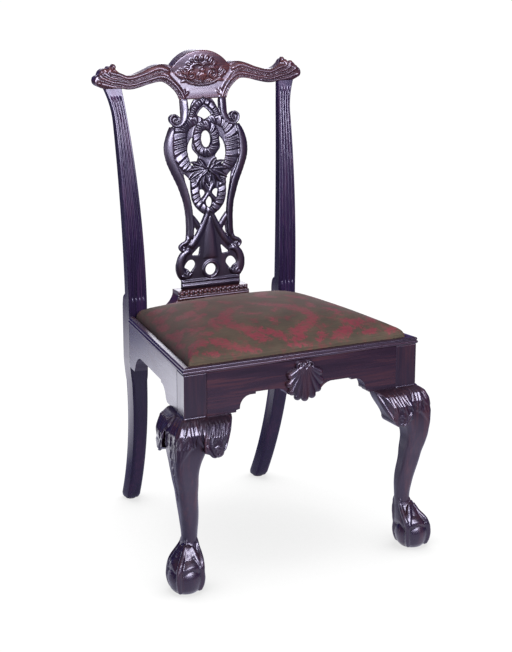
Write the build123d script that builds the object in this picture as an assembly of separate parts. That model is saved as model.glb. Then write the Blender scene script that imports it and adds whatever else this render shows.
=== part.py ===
from build123d import *
import os
from math import atan, cos, degrees, radians, sin, sqrt, tan

# Ribbon-back side chair in mahogany with cabriole front legs and a drop-in seat.
# Millimetres. While it is modelled, y = 0 is the front face of the front rail, x = 0 the middle,
# z = 0 the floor. At the end everything moves so that the origin is the middle of the base.

# Seat frame
seat_front_width = 515.0      # across the outer faces of the front leg posts
seat_rear_width = 399.0       # across the outer faces of the rear posts
seat_depth = 404.0            # front face of the front rail to the front of the rear posts
rail_top = 431.0              # ledge that carries the drop-in seat
rail_bottom = 344.5           # lower edge of the rails where they meet the legs
rail_thickness = 28.0
tenon_thickness = 10.0
tenon_length = 25.0
tenon_setback = 9.0           # outer face of a rail to its tenon
tenon_shoulder = 16.0         # rail edge to tenon, above and below
tenon_root = 20.0             # overlap of tenon and rail while they are joined
apron_rise = 35.5             # how far the aprons rise between the legs
rear_rail_thickness = 46.0
rear_rail_height = 66.0
rear_tenon_length = 15.0

# Moulded lip that forms the seat rebate
lip_height = 14.0
lip_width = 14.0
lip_overhang = 2.0
lip_round = 6.0

# Front legs
leg_post = 48.0               # side of the square post between the rails
knee_out = 26.0               # how far the knee stands out beyond the post's corner
ankle_radius = 14.8
ankle_height = 110.0
ankle_inset = 15.8            # ankle's centre inside the post's corner
ball_radius = 35.0
ball_centre_height = 27.0
claw_radius = 6.0
claw_reach = 35.0             # centre of a claw from the ball's axis, at its widest
claw_top = 88.0
talon_height = 8.0
knuckle_radius = 7.5
knuckle_height = 50.0

# Knee brackets
bracket_reach = 98.7          # tip from the post's corner, along the rail
bracket_start = 26.0          # where the bracket begins, inside the knee
bracket_drop = 72.0           # rail edge to the foot of the scroll
bracket_depth = 20.0          # behind the rail's face
bracket_out = 31.0            # in front of the rail's face at the scroll
scroll_radius = 12.5

# Shell on the front rail
shell_lobes = 9
shell_half_width = 34.0       # to the centres of the outer lobe tips
shell_half_height = 35.0
shell_centre_rise = 45.0      # above the rail's lower edge
shell_hinge_rise = 77.0       # above the rail's lower edge
shell_tip_radius = 8.0
shell_hinge_radius = 3.5
shell_spread = 224.0          # degrees of the tip ellipse that carry lobes

# Rear posts
post_depth_seat = 36.0
post_depth_top = 22.0
post_width_seat = 42.0
post_lean = 57.0              # how far the front of the post leans back at the crest
post_splay = 26.0             # how far its inner edge moves out at the crest
post_splay_start = 0.3        # share of the splay that is straight, the rest curves
post_outer_splay = 7.5        # how far its outer edge moves out at the crest, without the flare
post_straight = 44.0          # upright stretch above the rail top
post_square = 0.45            # share of the post's depth that is square, the rest is rounded behind
post_sections = 8
rear_foot_width = 34.0
rear_foot_depth = 36.0
rear_foot_rake = 85.5         # how far the rear foot stands behind the post
rear_foot_inset = 22.0        # how far the foot's outer side moves in at the floor
rear_leg_waist = 15.0         # how far it has moved in half way down
post_tenon_height = 10.0
post_tenon_width = 20.0
post_tenon_depth = 10.0
flute_count = 4
flute_radius = 2.3
flute_stop = 17.0             # top of the flutes below the crest
flare_height = 70.0
flare_out = 14.0              # flare of the outer edge under the ear

# Rear glides
glide_radius = 11.0
glide_height = 4.0
glide_pin_radius = 1.5
glide_pin_length = 14.0

# Shoe and splat
shoe_height = 56.0
shoe_half_top = 83.0
shoe_half_bottom = 104.0
shoe_band = 9.0               # upright band at the top of the shoe
shoe_foot = 20.0              # upright foot of the shoe
shoe_flare = 4.0              # top band behind the foot
shoe_depth = 36.0
splat_front = 16.0            # front of the splat behind the front of the rear posts
splat_thickness = 13.0
splat_height = 403.0
splat_tenon_height = 14.0
splat_tenon_thickness = 8.0
splat_foot_half = 70.0
back_radius = 2300.0          # sweep of the back, upright at the shoe

# Crest rail
crest_thickness = 23.0
crest_post_rise = 30.0        # post joint above the splat joint
dome_rise = 103.0             # top of the carved dome above the splat joint
dome_radius = 82.7
dome_half = 66.0
dome_depth = 76.0             # height of the lens-shaped dome
dome_proud = 8.0              # middle of the dome in front of the rail
dome_rim = 2.0                # its rim in front of the rail
ear_overhang = 3.5            # ear beyond the post's flare
crest_splat_tenon_half = 15.0

# Corner blocks and screws
block_leg = 78.0
block_height = 42.0
block_drop = 8.0              # below the rail top
screw_head_radius = 4.5
screw_head_height = 3.0
screw_radius = 2.2
screw_in_block = 20.0
screw_in_rail = 14.0
screw_clearance = 0.15

# Drop-in seat
seat_clearance = 2.0          # all round, inside the lip and the shoe
cover_thickness = 1.5
cover_turn_under = 48.0
cover_draw_in = 3.0           # how far the cover's sides lean in
soft_gap = 0.3
seat_rail_width = 56.0
seat_rail_thickness = 15.0
seat_tenon_length = 15.0
seat_tenon_thickness = 8.0
seat_tenon_inset = 14.0
webbing_width = 50.0
webbing_thickness = 1.6
webbing_gap = 0.1
webbing_count = 3
hessian_thickness = 1.0
crown_height = 67.0           # top of the cover above the rail top
edge_height = 31.0            # top of the cover's corners above the rail top
edge_crown = 0.05             # share of the crown that is left at the front and rear edges
crown_fullness = 4.0          # how flat the crown is before it falls to the sides
dust_cover_thickness = 0.8
dust_cover_inset = 36.0
tack_head_radius = 3.5
tack_head_height = 1.0
tack_radius = 0.9
tack_length = 9.0
tack_spacing = 44.0
tack_inset = 42.0
tack_clearance = 0.1

# Worked out from the sizes above
taper = atan((seat_front_width - seat_rear_width) / 2 / seat_depth)
lip_inner = lip_width - lip_overhang
corner = Vector(-seat_front_width / 2, 0, 0)
shoe_top = rail_top + shoe_height
crest_joint = shoe_top + splat_height
post_top = crest_joint + crest_post_rise
post_bend = rail_top + post_straight
rear_rail_back = seat_depth + post_depth_seat
far = 4 * seat_depth


def side_x(y, inset):
    """X of the left side of the seat at depth y, set in from the outer face of the side rail."""
    return -seat_front_width / 2 + y * tan(taper) + inset / cos(taper)


def closed(*points):
    """A smooth closed outline through a few points."""
    return make_face(Spline(*points, periodic=True))


def plank(face, start, end):
    """An outline in x and z, extruded along y."""
    return extrude(Pos(0, start, 0) * (Plane.XZ * face), end - start, dir=(0, 1, 0))


def across(face, half_width):
    """An outline in y and z, extruded both ways along x."""
    return extrude(Plane.YZ * face, half_width, both=True)


def box(low, high):
    """A box between two corners."""
    size = [h - l for l, h in zip(low, high)]
    centre = [(h + l) / 2 for l, h in zip(low, high)]
    return Pos(*centre) * Box(*size)


def both_sides(half):
    """A half outline and its mirror image."""
    return half + mirror(half, Plane.YZ)


# Seat rails

def front_rail():
    """Front seat rail with its shaped apron and the drop that backs the shell."""
    half_post = seat_front_width / 2 - leg_post
    tip = seat_front_width / 2 - bracket_reach
    low = rail_bottom
    rise = low + apron_rise
    half = make_face([
        Line((0, rail_top), (half_post, rail_top)),
        Line((half_post, rail_top), (half_post, low)),
        Line((half_post, low), (tip - 11, low)),
        Line((tip - 11, low), (tip - 11, low + 4)),
        Line((tip - 11, low + 4), (tip - 19, low + 6)),
        ThreePointArc((tip - 19, low + 6), (tip - 27, rise - 10), (tip - 45, rise - 4)),
        Line((tip - 45, rise - 4), (tip - 53, rise - 4)),
        Line((tip - 53, rise - 4), (tip - 53, rise)),
        Line((tip - 53, rise), (shell_half_width + 26, rise)),
        ThreePointArc((shell_half_width + 26, rise), (shell_half_width + 12, rise - 5),
                      (shell_half_width + 2, rise - 15)),
        Line((shell_half_width + 2, rise - 15), (0, low + apron_rise * 0.24)),
        Line((0, low + apron_rise * 0.24), (0, rail_top)),
    ])
    rail = plank(both_sides(half), 0, rail_thickness)
    tenon = box((half_post - tenon_root, tenon_setback, low + tenon_shoulder),
                (half_post + tenon_length, tenon_setback + tenon_thickness, rail_top - tenon_shoulder))
    return rail + both_sides(tenon)


def side_plane():
    """The outer face of the left side rail: x runs back along it, y is up, z points inwards."""
    back = (sin(taper), cos(taper), 0)
    inward = (cos(taper), -sin(taper), 0)
    return Plane(origin=corner, x_dir=back, z_dir=inward)


def side_rail():
    """Left side seat rail: cove behind the knee bracket, flat run, cove down to the rear post."""
    low = rail_bottom
    rise = low + apron_rise - 2
    length = seat_depth / cos(taper)
    rear = length - 38
    face = make_face([
        Line((0, rail_top), (length + tenon_length, rail_top)),
        Line((length + tenon_length, rail_top), (length + tenon_length, low - 8)),
        Line((length + tenon_length, low - 8), (rear, low - 8)),
        Line((rear, low - 8), (rear - 6, low)),
        ThreePointArc((rear - 6, low), (rear - 26, rise - 10), (rear - 54, rise)),
        Line((rear - 54, rise), (bracket_reach + 64, rise)),
        Line((bracket_reach + 64, rise), (bracket_reach + 62, rise - 5)),
        ThreePointArc((bracket_reach + 62, rise - 5), (bracket_reach + 37, rise - 13),
                      (bracket_reach + 28, low + 6)),
        Line((bracket_reach + 28, low + 6), (bracket_reach + 20, low)),
        Line((bracket_reach + 20, low), (0, low)),
        Line((0, low), (0, rail_top)),
    ])
    board = extrude(side_plane() * face, rail_thickness)
    front_shoulder = leg_post * cos(taper)
    rail = board & box((-far, front_shoulder, 0), (0, seat_depth, far))
    strip = Pos(length / 2, (low + rail_top) / 2) * Rectangle(2 * length, rail_top - low - 2 * tenon_shoulder)
    tongue = extrude(side_plane().offset(tenon_setback) * strip, tenon_thickness)
    front_tenon = tongue & box((-far, front_shoulder - tenon_length, 0), (0, front_shoulder + tenon_root, far))
    rear_tenon = tongue & box((-far, seat_depth - tenon_root, 0), (0, seat_depth + tenon_length, far))
    return rail + front_tenon + rear_tenon


def rear_rail():
    """Rear seat rail, tenoned between the rear posts. The shoe stands on it."""
    half = seat_rear_width / 2 - post_width_seat
    back = rear_rail_back
    low = rail_top - rear_rail_height
    rail = box((-half, back - rear_rail_thickness, low), (half, back, rail_top))
    tenon = box((-half - rear_tenon_length, back - tenon_setback - tenon_thickness, low + tenon_shoulder),
                (half + rear_tenon_length, back - tenon_setback, rail_top - tenon_shoulder))
    return rail + tenon


def lip_strip(plan, outer_edge):
    """A lip cut to its mitred plan, with its outer top edge rounded."""
    strip = extrude(Pos(0, 0, rail_top) * make_face(Polyline(*plan, close=True)), lip_height)
    top = strip.edges().group_by(Axis.Z)[-1]
    return fillet(top.sort_by(outer_edge)[0], lip_round)


def lip_corner(inset):
    """Corner of the lip's plan at the front left, set in from the faces of the rails."""
    return (side_x(inset, inset), inset)


def front_lip():
    outer = lip_corner(-lip_overhang)
    inner = lip_corner(lip_inner)
    return lip_strip([outer, (-outer[0], outer[1]), (-inner[0], inner[1]), inner], Axis.Y)


def side_lip():
    outer = lip_corner(-lip_overhang)
    inner = lip_corner(lip_inner)
    back_outer = (side_x(seat_depth, -lip_overhang), seat_depth)
    back_inner = (side_x(seat_depth, lip_inner), seat_depth)
    return lip_strip([outer, inner, back_inner, back_outer], Axis.X)


# Front legs

def leg_section(height, outer, inner, roundness):
    """A rounded square that reaches outer beyond the post's corner and inner inside it."""
    half = (outer + inner) / 2
    centre = (inner - outer) / 2
    face = RectangleRounded(2 * half, 2 * half, roundness * half)
    return Pos(corner.X + centre, corner.Y + centre, height) * face


def shank():
    """The cabriole from the rail's lower edge, over the knee and in to the ankle."""
    drop = rail_bottom - ankle_height
    ankle_outer = ankle_radius - ankle_inset
    ankle_inner = ankle_radius + ankle_inset
    ball_top = ball_centre_height + ball_radius
    sections = [
        leg_section(rail_bottom, 1.0, leg_post, 0.2),
        leg_section(rail_bottom - 0.04 * drop, 0.54 * knee_out, leg_post, 0.32),
        leg_section(rail_bottom - 0.11 * drop, 0.85 * knee_out, leg_post, 0.38),
        leg_section(rail_bottom - 0.22 * drop, knee_out, leg_post - 5, 0.42),
        leg_section(rail_bottom - 0.32 * drop, knee_out - 1, leg_post - 17, 0.45),
        leg_section(rail_bottom - 0.45 * drop, knee_out - 5, 0.46 * leg_post, 0.48),
        leg_section(rail_bottom - 0.6 * drop, 0.5 * knee_out, 0.5 * leg_post, 0.55),
        leg_section(rail_bottom - 0.75 * drop, 0.26 * knee_out, 0.57 * leg_post, 0.65),
        leg_section(rail_bottom - 0.89 * drop, ankle_outer + 2, ankle_inner - 0.4, 0.8),
        leg_section(ankle_height, ankle_outer, ankle_inner, 0.94),
        leg_section(ankle_height - 18, ankle_outer + 1, ankle_inner, 0.94),
        leg_section(ball_top + 9, ankle_outer + 9, ankle_inner - 1, 0.94),
        leg_section(ball_top - 8, ankle_outer + 25, ankle_inner, 0.94),
    ]
    return loft(sections)


def claw(angle):
    """One toe of the foot: a bent finger over the ball, with a knuckle and a talon."""
    top_reach = ankle_radius - 3
    talon_reach = 0.92 * claw_reach
    path = Spline((top_reach, 0, claw_top), (0.86 * claw_reach, 0, knuckle_height + 9),
                  (claw_reach, 0, ball_centre_height + 5), (talon_reach, 0, talon_height))
    finger = sweep(Plane(origin=path @ 0, z_dir=path % 0) * Circle(claw_radius), path)
    talon = Pos(talon_reach, 0, talon_height) * Sphere(claw_radius)
    knuckle = Pos(claw_reach - 1, 0, knuckle_height) * Sphere(knuckle_radius)
    return Rot(0, 0, angle) * (finger + talon + knuckle)


def foot():
    """Ball and claw, cut flat at the floor."""
    ball = Pos(0, 0, ball_centre_height) * Sphere(ball_radius)
    neck = Pos(0, 0, claw_top - 14) * Sphere(ankle_radius + 4)
    whole = ball + neck
    for angle in (45, 135, 225, 315):
        whole += claw(angle)
    return whole & box((-far, -far, 0), (far, far, far))


def front_leg():
    back = Vector(sin(taper), cos(taper)) * leg_post
    start = Vector(corner.X, corner.Y)
    across_post = Vector(leg_post, 0)
    plan = Polyline(start, start + across_post, start + across_post + back, start + back, close=True)
    post = extrude(Pos(0, 0, rail_bottom) * make_face(plan), rail_top - rail_bottom)
    return post + shank() + Pos(corner) * foot()


# Knee brackets

def bracket():
    """Bracket under the front rail at the left leg: a scroll and an S-shaped tip that bulge with the knee."""
    top = rail_bottom
    scroll_z = top - bracket_drop + scroll_radius
    scroll_a = 0.56 * bracket_reach
    face = make_face([
        Line((bracket_start, top), (bracket_reach, top)),
        Spline((bracket_reach, top), (bracket_reach - 4, top - 12), (0.82 * bracket_reach, top - 34),
               (scroll_a + scroll_radius, scroll_z + 2)),
        Line((scroll_a + scroll_radius, scroll_z + 2), (scroll_a, scroll_z - scroll_radius)),
        Line((scroll_a, scroll_z - scroll_radius), (bracket_start, scroll_z)),
        Line((bracket_start, scroll_z), (bracket_start, top)),
    ])
    face += Pos(scroll_a, scroll_z) * Circle(scroll_radius)
    block = plank(face, -bracket_out, bracket_depth)
    plan = make_face([
        Line((bracket_start, bracket_depth), (bracket_reach + 1, bracket_depth)),
        Line((bracket_reach + 1, bracket_depth), (bracket_reach + 1, -1)),
        Spline((bracket_reach + 1, -1), (0.9 * bracket_reach, -0.45 * bracket_out),
               (0.72 * bracket_reach, -0.88 * bracket_out), (bracket_start, -bracket_out)),
        Line((bracket_start, -bracket_out), (bracket_start, bracket_depth)),
    ])
    bulge = make_face([
        Line((bracket_depth, top), (-1, top)),
        Spline((-1, top), (-0.55 * bracket_out, top - 9), (-0.9 * bracket_out, top - 30),
               (-bracket_out, top - 58), (-0.94 * bracket_out, top - bracket_drop - 2)),
        Line((-0.94 * bracket_out, top - bracket_drop - 2), (bracket_depth, top - bracket_drop - 2)),
        Line((bracket_depth, top - bracket_drop - 2), (bracket_depth, top)),
    ])
    return block & extrude(plan, far) & across(bulge, far)


def front_bracket(leg):
    return Pos(corner) * bracket() - leg


def side_bracket(leg):
    turned = Rot(0, 0, -90 - degrees(taper)) * mirror(bracket(), Plane.YZ)
    return Pos(corner) * turned - leg


def shell():
    """Scallop of tapered lobes that fan out from a hinge under the lip."""
    hinge = Vector(0, -2, rail_bottom + shell_hinge_rise)
    whole = Pos(hinge) * Sphere(1.6 * shell_hinge_radius)
    for i in range(shell_lobes):
        turn = radians(shell_spread * (i / (shell_lobes - 1) - 0.5))
        drop = shell_half_height * cos(turn)
        tip = Vector(shell_half_width * sin(turn), -2, rail_bottom + shell_centre_rise - drop)
        way = tip - hinge
        length = way.length
        profile = make_face([
            Line((0, 0), (shell_hinge_radius, 0)),
            Line((shell_hinge_radius, 0), (shell_tip_radius, length)),
            ThreePointArc((shell_tip_radius, length),
                          (shell_tip_radius * cos(radians(45)), length + shell_tip_radius * sin(radians(45))),
                          (0, length + shell_tip_radius)),
            Line((0, length + shell_tip_radius), (0, 0)),
        ])
        lobe = revolve(Plane.XZ * profile, Axis.Z)
        whole += Plane(origin=hinge, z_dir=way) * lobe
    return whole & box((-far, -far, 0), (far, 0, far))


# Back

def bend(z, start, radius):
    """How far an arc that is upright at start leans back at height z."""
    return radius - sqrt(radius ** 2 - (z - start) ** 2)


def arc_radius(rise, lean):
    """Radius of an arc that starts upright and leans back by lean over rise."""
    return (rise ** 2 + lean ** 2) / (2 * lean)


def back_y(z):
    """Front of the splat and of the crest rail at height z."""
    return seat_depth + splat_front + bend(z, shoe_top, back_radius)


def back_slab(low, high, thickness, proud=0.0):
    """The swept board that splat and crest are sawn from."""
    middle = (low + high) / 2
    front = [(back_y(z) - proud, z) for z in (low, middle, high)]
    rear = [(back_y(z) + thickness, z) for z in (low, middle, high)]
    face = make_face([ThreePointArc(*front), Line(front[2], rear[2]),
                      ThreePointArc(*rear), Line(rear[0], front[0])])
    return across(face, far)


def post_share(z):
    """Height z as a share of the post's swept stretch."""
    return (z - post_bend) / (post_top - post_bend)


def post_inner(z):
    """Inner edge of the left rear post above the seat."""
    t = post_share(z)
    edge = -seat_rear_width / 2 + post_width_seat
    return edge - post_splay * (post_splay_start * t + (1 - post_splay_start) * t ** 2)


def post_outer(z):
    """Outer edge of the left rear post above the seat, flared under the ear."""
    flare = max(0, z - post_top + flare_height) / flare_height
    return -seat_rear_width / 2 - post_outer_splay * post_share(z) - flare_out * flare ** 2


def post_front(z):
    """Front of the rear post above the seat."""
    return seat_depth + bend(z, post_bend, arc_radius(post_top - post_bend, post_lean))


def post_rear(z):
    """Back of the rear post above the seat."""
    lean = post_lean + post_depth_top - post_depth_seat
    return seat_depth + post_depth_seat + bend(z, post_bend, arc_radius(post_top - post_bend, lean))


def post_section(z):
    """Section of the left rear post: flat in front, square at the sides, rounded behind."""
    outer, inner = post_outer(z), post_inner(z)
    front, rear = post_front(z), post_rear(z)
    side = front + post_square * (rear - front)
    middle = (outer + inner) / 2
    face = make_face([
        Line((outer, front), (inner, front)),
        Line((inner, front), (inner, side)),
        Spline((inner, side), (middle, rear), (outer, side), tangents=((0, 1), (-1, 0), (0, -1))),
        Line((outer, side), (outer, front)),
    ])
    return Pos(0, 0, z) * face


def flute(share):
    """A round-bottomed flute up the front of the left rear post."""
    def point(z):
        x = post_inner(z) + share * (post_outer(z) - post_inner(z))
        return (x, post_front(z), z)
    low = post_bend + 3
    high = post_top - flute_stop
    path = Spline(*[point(low + (high - low) * i / 4) for i in range(5)])
    return sweep(Plane(origin=path @ 0, z_dir=path % 0) * Circle(flute_radius), path)


def rear_post():
    """Left rear post: raked foot, upright at the seat, swept back and out to the crest."""
    front = seat_depth
    rear = seat_depth + post_depth_seat
    foot_front = front + rear_foot_rake
    foot_rear = foot_front + rear_foot_depth
    floor = glide_height
    profile = make_face([
        TangentArc((front, rail_bottom), (foot_front, floor), tangent=(0, -1)),
        Line((foot_front, floor), (foot_rear, floor)),
        TangentArc((rear, rail_bottom), (foot_rear, floor), tangent=(0, -1)),
        Line((rear, rail_bottom), (rear, post_bend)),
        Line((rear, post_bend), (front, post_bend)),
        Line((front, post_bend), (front, rail_bottom)),
    ])
    outer = -seat_rear_width / 2
    inner = outer + post_width_seat
    foot_outer = outer + rear_foot_inset
    foot_inner = foot_outer + rear_foot_width
    waist = (outer + rear_leg_waist, (rail_bottom + floor) / 2)
    face = make_face([
        Line((foot_outer, floor), (foot_inner, floor)),
        Line((foot_inner, floor), (inner, rail_bottom)),
        Line((inner, rail_bottom), (inner, post_bend)),
        Line((inner, post_bend), (outer, post_bend)),
        Line((outer, post_bend), (outer, rail_bottom)),
        ThreePointArc((outer, rail_bottom), waist, (foot_outer, floor)),
    ])
    leg = plank(face, 0, far) & across(profile, far)
    heights = [post_bend + (post_top - post_bend) * i / post_sections for i in range(post_sections + 1)]
    post = leg + loft([post_section(z) for z in heights])
    for i in range(flute_count):
        post -= flute((i + 1) / (flute_count + 1))
    top_front, top_rear = post_front(post_top), post_rear(post_top)
    tenon_x = post_inner(post_top) - post_width_seat / 2
    tenon_y = (top_front + top_rear) / 2
    tenon = box((tenon_x - post_tenon_width / 2, tenon_y - post_tenon_depth / 2, post_top - 1),
                (tenon_x + post_tenon_width / 2, tenon_y + post_tenon_depth / 2,
                 post_top + post_tenon_height))
    return post + tenon


def shoe():
    """Moulded shoe on the rear rail: upright foot, hollow flare, carved band, mortise for the splat."""
    low = rail_top
    foot_z = low + shoe_foot
    band = shoe_top - shoe_band
    half_hollow = (shoe_half_top + shoe_half_bottom) / 2 - 3
    half = make_face([
        Line((0, low), (shoe_half_bottom, low)),
        Line((shoe_half_bottom, low), (shoe_half_bottom, foot_z)),
        ThreePointArc((shoe_half_bottom, foot_z), (half_hollow, (foot_z + band) / 2 - 2),
                      (shoe_half_top, band)),
        Line((shoe_half_top, band), (shoe_half_top, shoe_top)),
        Line((shoe_half_top, shoe_top), (0, shoe_top)),
        Line((0, shoe_top), (0, low)),
    ])
    face = seat_depth
    rear = face + shoe_depth
    inner = face + shoe_flare
    profile = make_face([
        Line((face, low), (face, foot_z)),
        ThreePointArc((face, foot_z), (face + 0.75 * shoe_flare, (foot_z + band) / 2 - 2), (inner, band)),
        Line((inner, band), (inner, shoe_top)),
        Line((inner, shoe_top), (rear, shoe_top)),
        Line((rear, shoe_top), (rear, low)),
        Line((rear, low), (face, low)),
    ])
    return plank(both_sides(half), 0, far) & across(profile, far)


def splat_outline():
    """Outer edge of the splat: foot, lower scroll, waist, shoulder, volute and neck, from its foot up."""
    z = shoe_top
    top = crest_joint
    neck = 54.7
    half = make_face([
        Line((0, z), (splat_foot_half, z)),
        Line((splat_foot_half, z), (splat_foot_half, z + 20)),
        Spline((splat_foot_half, z + 20), (82.5, z + 49), (77, z + 68), (66, z + 79)),
        Line((66, z + 79), (58, z + 105)),
        Spline((58, z + 105), (55.5, z + 142), (67.3, z + 212.5), (89, z + 262), (98.3, z + 302),
               (92, z + 328), (78, z + 348)),
        Line((78, z + 348), (55, z + 356)),
        Line((55, z + 356), (neck, top)),
        Line((neck, top), (0, top)),
        Line((0, top), (0, z)),
    ])
    half += Pos(65.5, z + 92) * Circle(9)
    half += Pos(68.5, z + 362) * Circle(12)
    return both_sides(half)


def splat_piercings():
    """Openings between the straps and ribbons, from the foot up."""
    z = shoe_top
    top = crest_joint
    on_axis = [
        Pos(0, z + 39) * Circle(12.5),
        Pos(0, z + 185.5) * Ellipse(7, 11.5),
        Pos(0, z + 319) * Ellipse(11.5, 17.5),
        make_face([ThreePointArc((19, z + 361), (12, z + 376), (0, z + 386)),
                   ThreePointArc((0, z + 386), (-12, z + 376), (-19, z + 361)),
                   Line((-19, z + 361), (19, z + 361))]),
    ]
    one_side = [
        closed((62, z + 49), (57, z + 58), (48, z + 63.5), (40, z + 61), (37, z + 50), (42, z + 43),
               (48, z + 37), (55, z + 44)),
        make_face(Polyline((24, z + 93), (28, z + 72), (45, z + 73.5), close=True)),
        make_face(Polyline((36, z + 135), (27.5, z + 121), (39.5, z + 107), close=True)),
        make_face([Line((9, z + 154), (20.5, z + 137)), Line((20.5, z + 137), (40.5, z + 158)),
                   Spline((40.5, z + 158), (43, z + 183), (47.5, z + 206), (57, z + 250)),
                   Line((57, z + 250), (41.5, z + 235)),
                   Spline((41.5, z + 235), (41.5, z + 208), (37, z + 185), (22, z + 166), (9, z + 157)),
                   Line((9, z + 157), (9, z + 154))]),
        closed((21, z + 212), (13, z + 211.5), (8.5, z + 205), (13.5, z + 198), (18.5, z + 194),
               (21, z + 203)),
        closed((32, z + 324), (42, z + 310), (45.5, z + 293), (43, z + 275), (35, z + 264.5), (27, z + 270),
               (20, z + 282), (29, z + 294), (33, z + 309)),
        make_face([Line((36, top + 1), (20, top + 1)),
                   ThreePointArc((20, top + 1), (29, top - 12), (34, top - 25)),
                   Line((34, top - 25), (36, top + 1))]),
    ]
    return on_axis + one_side + [mirror(face, Plane.YZ) for face in one_side]


def splat():
    """Pierced ribbon splat with a tenon into the shoe and one into the crest."""
    face = splat_outline()
    for hole in splat_piercings():
        face -= hole
    board = plank(face, 0, far) & back_slab(shoe_top, crest_joint, splat_thickness)
    foot_y = back_y(shoe_top) + (splat_thickness - splat_tenon_thickness) / 2
    foot_half = splat_foot_half - splat_tenon_thickness
    foot_tenon = box((-foot_half, foot_y, shoe_top - splat_tenon_height),
                     (foot_half, foot_y + splat_tenon_thickness, shoe_top + 1))
    head_y = back_y(crest_joint) + (splat_thickness - splat_tenon_thickness) / 2
    head_tenon = box((-crest_splat_tenon_half, head_y, crest_joint - 1),
                     (crest_splat_tenon_half, head_y + splat_tenon_thickness,
                      crest_joint + splat_tenon_height))
    return board + foot_tenon + head_tenon


def crest_outline():
    """Outline of the crest rail: neck, under-curve, post joint, fluted ear, serpentine top, dome."""
    z = crest_joint
    joint = post_top
    post_in = -post_inner(post_top)
    post_out = -post_outer(post_top)
    ear = post_out + ear_overhang
    dome_foot = z + dome_rise - dome_radius + sqrt(dome_radius ** 2 - dome_half ** 2)
    dome_mid = z + dome_rise - dome_radius + sqrt(dome_radius ** 2 - (dome_half / 2) ** 2)
    half = make_face([
        Line((0, z), (54.7, z)),
        Spline((54.7, z), (65, z + 16), (80, z + 33), (98, z + 39.5), (125, z + 35), (154, z + 27.5),
               (post_in, joint)),
        Line((post_in, joint), (post_out, joint)),
        Line((post_out, joint), (ear + 10, joint + 6)),
        ThreePointArc((ear + 10, joint + 6), (ear + 17, joint + 18), (ear + 6, joint + 28)),
        ThreePointArc((ear + 6, joint + 28), (ear + 2, joint + 36), (ear - 14, joint + 40)),
        ThreePointArc((ear - 14, joint + 40), (ear - 22, joint + 45.5), (ear - 31, joint + 40)),
        Spline((ear - 31, joint + 40), (post_in - 19, joint + 25), (130, joint + 33), (92, joint + 45.5),
               (dome_half, dome_foot)),
        ThreePointArc((dome_half, dome_foot), (dome_half / 2, dome_mid), (0, z + dome_rise)),
        Line((0, z + dome_rise), (0, z)),
    ])
    return both_sides(half)


def crest():
    """Crest rail sawn from the swept board, with a lens-shaped dome standing proud for the carving."""
    top = crest_joint + dome_rise
    rail = plank(crest_outline(), 0, far) & back_slab(crest_joint, top + 10, crest_thickness)
    lens = Pos(0, top - dome_radius) * Circle(dome_radius)
    lens &= Pos(0, top - dome_depth + dome_radius) * Circle(dome_radius)
    middle = top - dome_depth / 2
    swell = dome_proud - dome_rim
    swell_radius = (dome_half ** 2 + swell ** 2) / (2 * swell)
    front = back_y(middle) - dome_proud
    ball = Pos(0, front + swell_radius, middle) * Sphere(swell_radius)
    dome = plank(lens, 0, back_y(crest_joint) + crest_thickness) & ball
    return rail + dome


# Corner blocks

def block_corners():
    """Inner corners of the seat frame on the left, each with its two rail directions and wall normals."""
    along_front = Vector(1, 0, 0)
    along_side = Vector(sin(taper), cos(taper), 0)
    to_side = Vector(-cos(taper), sin(taper), 0)
    front_y = rail_thickness
    rear_y = rear_rail_back - rear_rail_thickness
    front_corner = Vector(side_x(front_y, rail_thickness), front_y, 0)
    rear_corner = Vector(side_x(rear_y, rail_thickness), rear_y, 0)
    return {
        "front": (front_corner, along_front, along_side, Vector(0, -1, 0), to_side),
        "rear": (rear_corner, along_front, along_side * -1, Vector(0, 1, 0), to_side),
    }


def block_screw(seat, inward):
    """A pan-head screw through a block into a rail: seat is where it enters the rail."""
    plane = Plane(origin=seat, z_dir=inward)
    up = (Align.CENTER, Align.CENTER, Align.MIN)
    shank_part = Pos(0, 0, -screw_in_block) * Cylinder(screw_radius, screw_in_block + screw_in_rail, align=up)
    head = Cylinder(screw_head_radius, screw_head_height, align=up)
    head = Pos(0, 0, -screw_in_block - screw_head_height) * head
    return plane * (shank_part + head)


def screw_hole(seat, inward):
    """The screw's hole and the pocket for its head."""
    plane = Plane(origin=seat, z_dir=inward)
    up = (Align.CENTER, Align.CENTER, Align.MIN)
    length = screw_in_block + screw_in_rail + screw_clearance
    hole = Pos(0, 0, -screw_in_block) * Cylinder(screw_radius + screw_clearance, length, align=up)
    pocket = Pos(0, 0, -screw_in_block - block_leg) * Cylinder(screw_head_radius + 1, block_leg, align=up)
    return plane * (hole + pocket)


def corner_blocks(leg):
    """Left corner blocks, their screws and the holes for them."""
    blocks = {}
    screws = []
    holes = []
    middle = rail_top - block_drop - block_height / 2
    for place, (point, first, second, first_wall, second_wall) in block_corners().items():
        plan = Polyline(point, point + first * block_leg, point + second * block_leg, close=True)
        base = Pos(0, 0, rail_top - block_drop - block_height) * make_face(plan)
        block = extrude(base, block_height, dir=(0, 0, 1)) - leg
        for way, wall, lift in ((first, first_wall, 9), (second, second_wall, -9)):
            seat = point + way * (0.62 * block_leg) + Vector(0, 0, middle + lift)
            screws.append(block_screw(seat, wall))
            holes.append(screw_hole(seat, wall))
        blocks[place] = block
    return blocks, screws, holes


def glide(x, y):
    """A nail-on glide under a rear foot."""
    up = (Align.CENTER, Align.CENTER, Align.MIN)
    disc = Cylinder(glide_radius, glide_height, align=up)
    pin = Cylinder(glide_pin_radius, glide_height + glide_pin_length, align=up)
    return Pos(x, y, 0) * (disc + pin)


# Drop-in seat

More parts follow.
